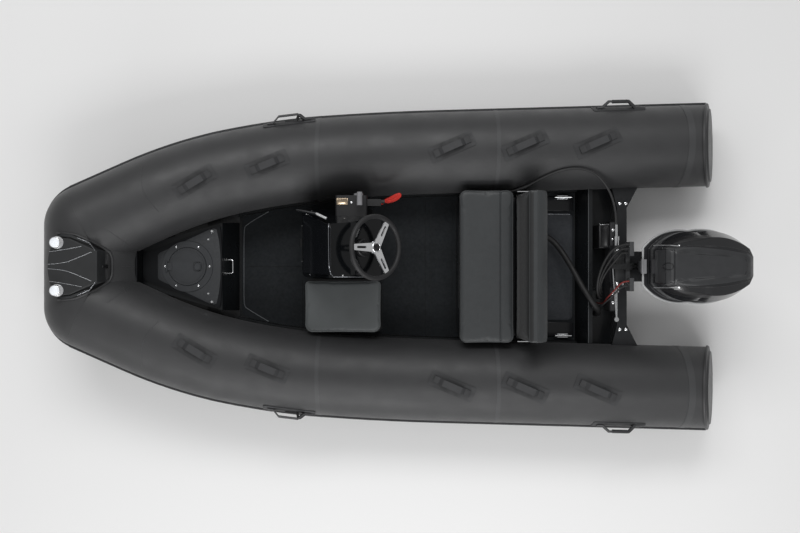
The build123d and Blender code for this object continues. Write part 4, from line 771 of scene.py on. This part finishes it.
for side, tag in bothSides:
    innerLine = [(1.884, side * 0.012), (1.802, side * 0.017), (1.730, side * 0.044), (1.652, side * 0.078)]
    outerLine = [(1.884, side * 0.078), (1.780, side * 0.092), (1.704, side * 0.109)]
    for lineName, corners in (("treadInner", innerLine), ("treadOuter", outerLine)):
        seamAlong(lineName + tag, corners, ["bow_step"], 0.0002, treadSettings["radius"], "bright_steel", "boat",
                  metalSkin(lineName + tag + "Foil", (0.42, 0.43, 0.45), 0.3))
    # a pale metal strip along the step's side edge: a painted highlight where that edge catches the light
    edgeHighlightLine = [(1.735, side * 0.1545), (1.690, side * 0.136), (1.642, side * 0.104), (1.634, side * 0.085)]
    seamAlong("treadEdgeHighlight" + tag, edgeHighlightLine, ["bow_step", "step_rim"], 0.0004, treadSettings["edge"], "bright_steel",
              "boat", metalSkin("treadEdgeHighlight" + tag + "Foil", (0.35, 0.36, 0.38), 0.28))
    seamRuns = {"bowSeamLong": [(1.600, side * 0.200), (1.560, side * 0.176), (1.505, side * 0.112)],
                "bowSeamTick": [(1.540, side * 0.112), (1.512, side * 0.152)],
                "bowSeamBack": [(1.330, side * 0.300), (1.38, side * 0.36), (1.42, side * 0.45), (1.43, side * 0.56)]}
    for seamName, corners in seamRuns.items():
        seamAlong(seamName + tag, corners, ["tubes", "bowBridge"], 0.0, treadSettings["seam"], "tube_fabric", "boat",
                  fabricSeam)
seamAlong("bowSeamCentre", [(1.512, 0), (1.54, 0), (1.562, 0)], ["bowBridge"], 0.0, treadSettings["seam"],
          "tube_fabric", "boat", fabricSeam)
print("bow dressed")

# seam bands round the tubes

bandSettings = {"tail": {"x": -1.652, "half": 0.019, "lift": 0.0012, "reach": 165},
                "after": {"x": -0.560, "half": 0.011, "lift": 0.0008, "reach": 165},
                "middle": {"x": 0.470, "half": 0.011, "lift": 0.0008, "reach": 165}}


def tubeCentre(x):
    row = [(-2.1, 0.726, 0.27), (0.15, 0.664, 0.27), (0.75, 0.609, 0.306), (1.25, 0.481, 0.38), (1.764, 0.227, 0.47)]
    for a, b in zip(row[:-1], row[1:]):
        if a[0] <= x <= b[0]:
            share = (x - a[0]) / (b[0] - a[0])
            return a[1] + (b[1] - a[1]) * share, a[2] + (b[2] - a[2]) * share
    return row[-1][1], row[-1][2]


def bandRound(name, settings, side):
    piece = newPiece(bpy.ops.mesh.primitive_grid_add, x_subdivisions=2, y_subdivisions=72, size=2)
    y, z = tubeCentre(settings["x"])
    for vertex in piece.data.vertices:
        angle = radians(settings["reach"] * vertex.co.y)
        out = Vector((0, side * sin(angle), cos(angle)))
        middle = Vector((settings["x"] + vertex.co.x * settings["half"], side * y, z))
        hit = hitOn(["tubes"], middle + out * 0.36, -out, 0.34)
        vertex.co = hit[0] + out * settings["lift"] if hit else middle + out * 0.24
    addWall(piece, 0.0011, 0)
    applyAll(piece)
    editAll(piece, bpy.ops.mesh.normals_make_consistent, inside=False)
    smooth(piece, 50)
    return dress(piece, name, fabricSeam, "boat", "tube_fabric")


for side, tag in bothSides:
    for bandName, settings in bandSettings.items():
        bandRound(bandName + "Band" + tag, settings, side)
gripSettings = {"radius": 0.0105, "half": 0.105, "height": 0.39, "sunk": 0.004, "seats": {"Fore": 0.560, "Aft": -1.335}}
for gripName, x in gripSettings["seats"].items():
    for side, tag in bothSides:
        places = []
        for k in range(23):
            across = x + gripSettings["half"] * (k - 11) / 11
            hit = hitOn(["carry_handles"], (across, side * 1.3, gripSettings["height"]), (0, -side, 0), 0.6)
            if hit:
                places.append(hit[0] - Vector((0, side * gripSettings["sunk"], 0)))
        if len(places) > 5:
            beadAlong("carryGrip" + gripName + tag, places, gripSettings["radius"], "handle_rubber", "boat")
print("tube bands laid")

# bow deck: the pale tread panel over the dark moulding, screws and the lid's lift ring

halfDeck = [(1.413, 0.066), (1.405, 0.078), (1.386, 0.088), (1.112, 0.216), (1.086, 0.222), (1.070, 0.216)]
aftDeck = [(1.056, 0.15), (1.048, 0.07), (1.046, 0.0), (1.048, -0.07), (1.056, -0.15)]
deckSettings = {"outline": halfDeck + aftDeck + [(x, -y) for x, y in reversed(halfDeck)], "low": 0.3602,
                "high": 0.3620, "bevel": 0.0006, "hatch": (1.240, 0.0, 0.361), "hole": 0.1494}
deckPanel = panel(deckSettings)
cutter = newPiece(bpy.ops.mesh.primitive_cylinder_add, vertices=96, radius=deckSettings["hole"], depth=0.05,
                  location=deckSettings["hatch"])
hole = deckPanel.modifiers.new("hole", "BOOLEAN")
hole.object = cutter
hole.operation = "DIFFERENCE"
applyAll(deckPanel, 30)
bpy.data.objects.remove(cutter)
dress(deckPanel, "bowDeckPanel", finishes["deck_composite"], "boat", "deck_composite")
deckMoulding = gelcoat("deckMoulding", (0.004, 0.0045, 0.0055), 0.4, 0.2, 0.0)
repaint("bow_deck", deckMoulding)
repaint("steering_arm", metalSkin("armMetal", (0.055, 0.056, 0.058), 0.3))
wallSettings = {"low": (1.503, -0.125, 0.338), "high": (1.516, 0.125, 0.454), "bevel": 0.003,
                "insets": [(0.012, -0.002)]}
block("bowWall", wallSettings, deckMoulding, "deck_composite", test=lambda face: face.normal.x < -0.95)
hatchX = deckSettings["hatch"][0]
screws("hatchScrews", {"radius": 0.0050, "height": 0.0024, "on": ["hatch_ring"],
                       "spots": oval(hatchX, 0, 0.1295, 0.1295, 60)})
lidBeads = {"lidLiftRing": {"places": oval(1.180, 0, 0.020, 0.026, 12), "lift": 0.0028, "radius": 0.003},
            "lidLipBead": {"places": oval(hatchX, 0, 0.1065, 0.1065, 6), "lift": -0.0006, "radius": 0.0022}}
for beadName, settings in lidBeads.items():
    beadAlong(beadName, laidDown(settings["places"], ["hatch_lid"], settings["lift"]), settings["radius"],
              "hatch_plastic", "hatch", True)
print("deck dressed")

# floor mat: bevelled edge with a painted highlight, centre and cross seams

matSettings = {"edge": 0.0032, "groove": 0.0016, "step": 0.02, "half": 0.43,
               "crossSeams": {"matSeamCross": -0.155, "matSeamAft": -0.32, "matSeamBow": 0.60},
               "foreEdge": [(0.80, -0.345), (0.945, -0.262), (0.962, -0.235), (0.962, -0.1), (0.962, 0.1),
                            (0.962, 0.235), (0.945, 0.262), (0.80, 0.345)]}
matGroove = foamMat("matGroove", (0.010, 0.011, 0.012))
# the pale rubber along the mat's forward edge is a painted highlight on its bevel
matEdgePaintedHighlight = mouldedRubber("matEdgePaintedHighlight", (0.075, 0.08, 0.086), 300)
matSeams = {"matSeamFore": [(0.955, 0, 0), (0.565, 0, 0)]}
for seamName, x in matSettings["crossSeams"].items():
    matSeams[seamName] = [(x, -matSettings["half"], 0), (x, matSettings["half"], 0)]
for seamName, ends in matSeams.items():
    places = laidDown(evenly(ends, matSettings["step"]), ["floor_mats"], 0.0)
    beadAlong(seamName, places, matSettings["groove"], "floor_mat", "boat", False, matGroove)
seamAlong("matForeEdge", matSettings["foreEdge"], ["floor_mats"], 0.0006, matSettings["edge"], "floor_mat", "boat",
          matEdgePaintedHighlight)
print("mat dressed")

# console: painted highlight beads along its edges, box plate, buttons, screws and the wheel's hub

consoleSettings = {"edge": 0.0026, "edgeRuns": {
    "consoleEdgeSide": [(0.3715, -0.222), (0.3715, -0.02), (0.362, 0.030), (0.352, 0.052)],
    "consoleEdgePort": [(0.350, 0.054), (0.180, 0.056)]}}
# pale metal beads along the console's edges, and along the tray's edge further aft: painted highlights where those
# edges catch the light
edgeHighlightMetal = metalSkin("consoleEdgePaintedHighlight", (0.3, 0.31, 0.33), 0.22)
for runName, corners in consoleSettings["edgeRuns"].items():
    seamAlong(runName, corners, ["windscreen", "console"], 0.0, consoleSettings["edge"], "bright_steel", "boat",
              edgeHighlightMetal)
plateSettings = {"low": (0.285, -0.374, 0.6402), "high": (0.347, -0.338, 0.6432), "bevel": 0.001,
                 "insets": [(0.004, -0.0012)]}
block("boxTopPlate", plateSettings, metalSkin("warmPlate", (0.45, 0.36, 0.26), 0.28), "bright_steel")
screws("boxButtons", {"radius": 0.0058, "height": 0.004, "on": ["control_box"],
                      "spots": [(0.266, -0.350), (0.150, -0.312), (0.134, -0.312)]})
screws("consoleScrews", {"radius": 0.0042, "height": 0.002, "on": ["console"],
                         "spots": [(0.500, 0.045), (0.300, 0.047), (0.180, 0.047), (0.500, -0.315), (0.300, -0.26)]})
hubSettings = {"centre": (0.1264, -0.1, 0.8307), "axis": (-0.669130606, 0, 0.743144825), "ring": 0.024,
               "ringWire": 0.0035, "cap": 0.0185, "capHeight": 0.006}
hubAxis = Vector(hubSettings["axis"])
hubTop = hitOn(["wheel_spokes"], Vector(hubSettings["centre"]) + hubAxis * 0.15, -hubAxis, 0.4)[0]
hubRing = newPiece(bpy.ops.mesh.primitive_torus_add, major_radius=hubSettings["ring"],
                   minor_radius=hubSettings["ringWire"], major_segments=48, minor_segments=12,
                   location=hubTop + hubAxis * 0.001, rotation=hubAxis.to_track_quat("Z", "Y").to_euler())
smooth(hubRing, 60)
dress(hubRing, "wheelHubRing", finishes["bright_steel"], "wheel", "bright_steel")
hubCap = newPiece(bpy.ops.mesh.primitive_cylinder_add, vertices=40, radius=hubSettings["cap"],
                  depth=hubSettings["capHeight"])
insetFaces(hubCap, facesUp, (0.003, 0.0015), (0.004, -0.001))
hubCap.matrix_world = turned(hubTop + hubAxis * 0.002, hubAxis)
smooth(hubCap, 35)
dress(hubCap, "wheelHubCap", deepBlack, "wheel", "wheel_rubber")
print("console dressed")

# piping round the cushions and stitching along their seams


def pipingRound(name, settings, padName, slotName, body):
    low, high, corner, radius = settings["low"], settings["high"], settings["corner"], settings["radius"]
    ring = []
    for cx, cy, start in ((high[0] - corner, high[1] - corner, 0), (low[0] + corner, high[1] - corner, 90),
                          (low[0] + corner, low[1] + corner, 180), (high[0] - corner, low[1] + corner, 270)):
        for k in range(9):
            angle = radians(start + 90 * k / 8)
            out = Vector((cos(angle), sin(angle), 0))
            ring.append((Vector((cx, cy, settings["height"])) + out * corner, out))
    ring.append(ring[0])
    places = []
    for (a, outA), (b, outB) in zip(ring[:-1], ring[1:]):
        parts = max(1, int((b - a).length / 0.01))
        for k in range(parts):
            out = outA.lerp(outB, k / parts).normalized()
            hit = hitOn([padName], a.lerp(b, k / parts) + out * 0.05, -out, 0.12)
            if hit:
                places.append(hit[0] - out * radius * 0.2)
    beadAlong(name, places, radius, slotName, body, True)


def stitchRun(name, settings, names, slotName, body):
    stitch = newPiece(bpy.ops.mesh.primitive_cylinder_add, vertices=8, radius=settings["radius"],
                      depth=settings["length"], rotation=(0, pi / 2, 0))
    applyPlace(stitch)
    insetFaces(stitch, lambda face: abs(face.normal.x) > 0.9, (settings["radius"] / 2, 0.0003))
    a, b = Vector(settings["start"]), Vector(settings["end"])
    pace = settings["length"] + settings["gap"]
    hits = []
    along = 0.0
    while along < (b - a).length:
        spot = a.lerp(b, along / (b - a).length)
        hits.append(below(names, spot.x, spot.y))
        along += pace
    seats = [turned(hit[0] + hit[1] * 0.0002, b - a, "X", "Z") for hit in hits if hit]
    run = copyTo(stitch, seats)
    smooth(run, 60)
    dress(run, name, finishes["clip_plastic"], body, slotName)


seatPiping = {"low": (0.103, 0.075), "high": (0.557, 0.389), "corner": 0.045, "height": 0.4035, "radius": 0.0032}
pipingRound("sideSeatPiping", seatPiping, "sideSeatCushion", "seat_vinyl", "seat_cover")
benchPiping = {"low": (-0.661, -0.447), "high": (-0.335, 0.447), "corner": 0.036, "height": 0.4405, "radius": 0.0032}
pipingRound("benchPiping", benchPiping, "benchSeatCushion", "bench_vinyl", "bench_cover")
stitchSettings = {"start": (-0.569, -0.43, 0), "end": (-0.569, 0.43, 0), "radius": 0.0008, "length": 0.006,
                  "gap": 0.004}
stitchRun("benchStitching", stitchSettings, ["benchSeatCushion"], "bench_vinyl", "bench_cover")
for ribName, x in (("backRestPipingFore", -0.7035), ("backRestPipingAft", -0.746)):
    rib = laidDown([(x, y / 1000) for y in range(-424, 425, 8)], ["benchBackRest"], 0.0)
    beadAlong(ribName, rib, 0.0026, "bench_vinyl", "boat")
# a near-black skin on the backrest's front face: partly the facing's own dark vinyl, partly painted shade on that face
facingAndShadeSettings = {"rows": [(-0.6745, -0.416, 0.416), (-0.700, -0.418, 0.418), (-0.7225, -0.418, 0.418)],
                  "lift": 0.0012, "wall": 0.001, "across": 60, "along": 0.003}
draped("backRestFacingAndShade", facingAndShadeSettings, ["benchBackRest"], vinylHide("facingVinylAndShade", (0.006, 0.0065, 0.007)),
       "bench_vinyl", "boat")
print("cushions piped and stitched")

# stern: tray, side decks, lip bead, bolts, boxes; the beads along the lip, the tray's edge and the box's edge are
# painted highlights

sideDeck = gelcoat("sideDeckGelcoat", (0.007, 0.0075, 0.009), 0.2)
for side, tag in bothSides:
    inner, outer = sorted((side * 0.342, side * 0.43))
    stripSettings = {"low": (-1.066, inner, 0.1042), "high": (-0.822, outer, 0.112), "bevel": 0.003}
    block("aftSideDeck" + tag, stripSettings, sideDeck, "liner_gelcoat")
traySettings = {"outline": roundedRing(-1.062, -0.824, -0.330, 0.330, 0.03), "low": 0.1042, "high": 0.1085,
                "bevel": 0.0012, "insets": [(0.012, 0), (0.00105, -0.0015)]}
dress(panel(traySettings), "aftTray", nonSlip("trayPanel", (0.014, 0.017, 0.022)), "boat", "floor_mat")
# a pale bead along the well's lip: a painted highlight where the lip catches the light
lipPlaces = [(-1.1195, y / 1000) for y in range(-470, 471, 12)]
beadAlong("wellLipHighlightBead", laidDown(lipPlaces, ["engine_well"], 0.0004), 0.0022, "liner_gelcoat", "boat", False,
          gelcoat("lipPaintedHighlight", (0.09, 0.095, 0.1), 0.2))
sternBolts = {
    "transomCapBolts": {"radius": 0.0085, "height": 0.005, "on": ["transom_trim", "transom"],
                        "spots": [(-1.300, 0.372), (-1.336, 0.372), (-1.300, -0.372), (-1.336, -0.372)]},
    "motorPadBolts": {"radius": 0.0085, "height": 0.006, "on": ["motor_pad", "transom_trim"],
                      "spots": [(-1.2645, -0.16), (-1.2645, 0.16), (-1.2645, -0.215), (-1.2645, 0.215)]},
    "clampBracketBolts": {"radius": 0.008, "height": 0.006, "on": ["clamp_bracket"],
                          "spots": [(-1.255, 0.10), (-1.255, -0.10), (-1.285, 0.10), (-1.285, -0.10)]},
}
for boltName, settings in sternBolts.items():
    screws(boltName, settings)
boxSettings = {"low": (-1.2428, -0.250, 0.1412), "high": (-1.180, -0.108, 0.286), "bevel": 0.006,
               "insets": [(0.010, 0), (0.002, -0.003)]}
block("riggingBox", boxSettings, deepBlack, "pad_plastic")
# a bright bead along the box's outer top edge: a painted highlight on that edge
boxEdge = evenly([(-1.240, -0.2495, 0.284), (-1.184, -0.2495, 0.284)], 0.01)
beadAlong("riggingBoxHighlightEdge", boxEdge, 0.0022, "bright_steel", "boat")
# a pale bead along one edge of the tray: a painted highlight on that edge
trayEdge = evenly([(-1.045, -0.322, 0.1088), (-0.84, -0.322, 0.1088)], 0.01)
beadAlong("trayEdgeHighlightBead", trayEdge, 0.0016, "bright_steel", "boat", False, edgeHighlightMetal)
print("stern dressed")

# motor: rim bead round the pan, front panel and latch, shoulder creases, painted highlights on the rim and shoulder
# edges, painted shade in the side recesses

cowlSettings = {"middle": (-1.62, 0.0), "rimHeight": 0.537, "rim": 0.0062, "skirtHeight": 0.552, "skirt": 0.0022}
# pale grey paint: the rim bead round the pan is a grey trim painted lighter as a highlight, and the shoulder edges are
# painted highlights
rimTrimAndHighlightPaint = motorPaint("rimTrimAndHighlightPaint", (0.36, 0.365, 0.37), 0.25)


def rimRound(name, nodeName, height, radius, material):
    places = []
    for k in range(200):
        out = Vector((cos(2 * pi * k / 200), sin(2 * pi * k / 200), 0))
        hit = hitOn([nodeName], Vector((*cowlSettings["middle"], height)) + out * 0.6, -out, 0.6)
        if hit:
            places.append(hit[0])
    beadAlong(name, places, radius, "cowl_paint", "motor", True, material)


rimRound("cowlRimBead", "cowl_pan", cowlSettings["rimHeight"], cowlSettings["rim"], rimTrimAndHighlightPaint)
rimRound("cowlSkirtBead", "cowl_top", cowlSettings["skirtHeight"], cowlSettings["skirt"], finishes["cowl_paint"])
topPaint = motorPaint("topPanelPaint", (0.022, 0.023, 0.025), 0.42)
topPanel = {"rows": [(-1.452, -0.098, 0.098), (-1.50, -0.103, 0.103), (-1.60, -0.100, 0.100), (-1.72, -0.088, 0.088),
                     (-1.80, -0.074, 0.074), (-1.870, -0.052, 0.052)], "lift": 0.0018, "wall": 0.0016, "across": 24}
draped("cowlTopPanel", topPanel, ["cowl_top"], topPaint, "cowl_paint", "motor")
frontPanel = {"rows": [(-1.396, -0.086, 0.086), (-1.402, -0.090, 0.090), (-1.440, -0.088, 0.088),
                       (-1.447, -0.083, 0.083)], "lift": 0.0016, "wall": 0.0014, "across": 20, "along": 0.006}
draped("cowlFrontPanel", frontPanel, ["cowl_top"], motorPaint("frontPanelPaint", (0.04, 0.041, 0.043), 0.4),
       "cowl_paint", "motor")
cowlSkins = ["cowl_top", "cowlTopPanel", "cowlFrontPanel"]
frontRing = [Vector((x, y, 0)) for x, y in roundedRing(-1.448, -1.398, -0.090, 0.090, 0.012)]
frontRing.append(frontRing[0])
beadAlong("cowlFrontLine", laidDown(evenly(frontRing, 0.006)[:-1], cowlSkins, 0.0), 0.0016, "cowl_paint", "motor",
          True, topPaint)
beadAlong("cowlRoundMark", laidDown(oval(-1.424, 0, 0.018, 0.018, 12), cowlSkins, 0.0), 0.0022, "cowl_paint",
          "motor", True, deepBlack)
# thin black sheets laid on the cowl's sides between the rim and the shoulders: painted shade of the recesses there
recessShadeRows = [(-1.425, 0.116, 0.126), (-1.47, 0.124, 0.148), (-1.53, 0.132, 0.162), (-1.60, 0.142, 0.168),
              (-1.66, 0.154, 0.168)]
for side, tag in bothSides:
    shadeSheet = {"rows": [(x, side * near, side * far) for x, near, far in recessShadeRows], "lift": 0.0012, "wall": 0.0012,
              "across": 8}
    draped("cowlRecessShade" + tag, shadeSheet, ["cowl_top"], deepBlack, "cowl_paint", "motor")
    crease = [(-1.50, side * 0.106), (-1.58, side * 0.112), (-1.70, side * 0.106), (-1.80, side * 0.090),
              (-1.87, side * 0.066)]
    seamAlong("cowlCrease" + tag, crease, ["cowl_top"], -0.0006, 0.0028, "cowl_paint", "motor")
    # a pale bead on the shoulder's edge: a painted highlight
    shoulder = [(-1.402, side * 0.118), (-1.44, side * 0.112), (-1.475, side * 0.108)]
    seamAlong("cowlShoulderHighlight" + tag, shoulder, ["cowl_top"], 0.0, 0.0020, "cowl_paint", "motor", rimTrimAndHighlightPaint)
latchSettings = {"low": (-1.378, -0.040, 0.536), "high": (-1.350, 0.040, 0.562), "bevel": 0.004,
                 "insets": [(0.005, -0.002)]}
block("cowlLatch", latchSettings, finishes["lever_plastic"], "lever_plastic", "motor")
screws("cowlScrews", {"radius": 0.0048, "height": 0.0022, "on": ["cowl_top"],
                      "spots": [(-1.480, 0.112), (-1.480, -0.112)]}, "bright_steel", "motor")
print("motor dressed")

# stage, lights and world

stageSettings = {"floorColor": (0.86, 0.86, 0.86), "world": 0.38}
bpy.ops.mesh.primitive_plane_add(size=60, location=(0, 0, 0))
floor = bpy.context.object
floor.name = "waterFloor"
floor.data.materials.append(startMaterial("paleFloor", stageSettings["floorColor"], 0.9)[0])

world = bpy.data.worlds.new("paleSky")
bpy.context.scene.world = world
world.use_nodes = True
background = world.node_tree.nodes["Background"]
background.inputs["Color"].default_value = (1, 1, 1, 1)
background.inputs["Strength"].default_value = stageSettings["world"]


def areaLamp(name, place, target, size, power):
    bpy.ops.object.light_add(type="AREA", location=place)
    lamp = bpy.context.object
    lamp.name = name
    lamp.data.shape = "RECTANGLE"
    lamp.data.size, lamp.data.size_y = size
    lamp.data.energy = power
    lamp.rotation_euler = (Vector(target) - Vector(place)).to_track_quat("-Z", "Y").to_euler()


lampRows = {"lowStrip": ((1.2, 7.6, 3.4), (0.1, 0, 0.3), (7.0, 2.0), 230),
            "topSoftbox": ((0.6, -3.8, 5.4), (0, 0, 0.3), (5.0, 1.8), 180),
            "fillSoftbox": ((-0.8, 3.9, 5.2), (0, 0, 0.3), (5.0, 1.8), 110)}
for lampName, row in lampRows.items():
    areaLamp(lampName, *row)
print("stage and lights set")

bpy.context.view_layer.update()
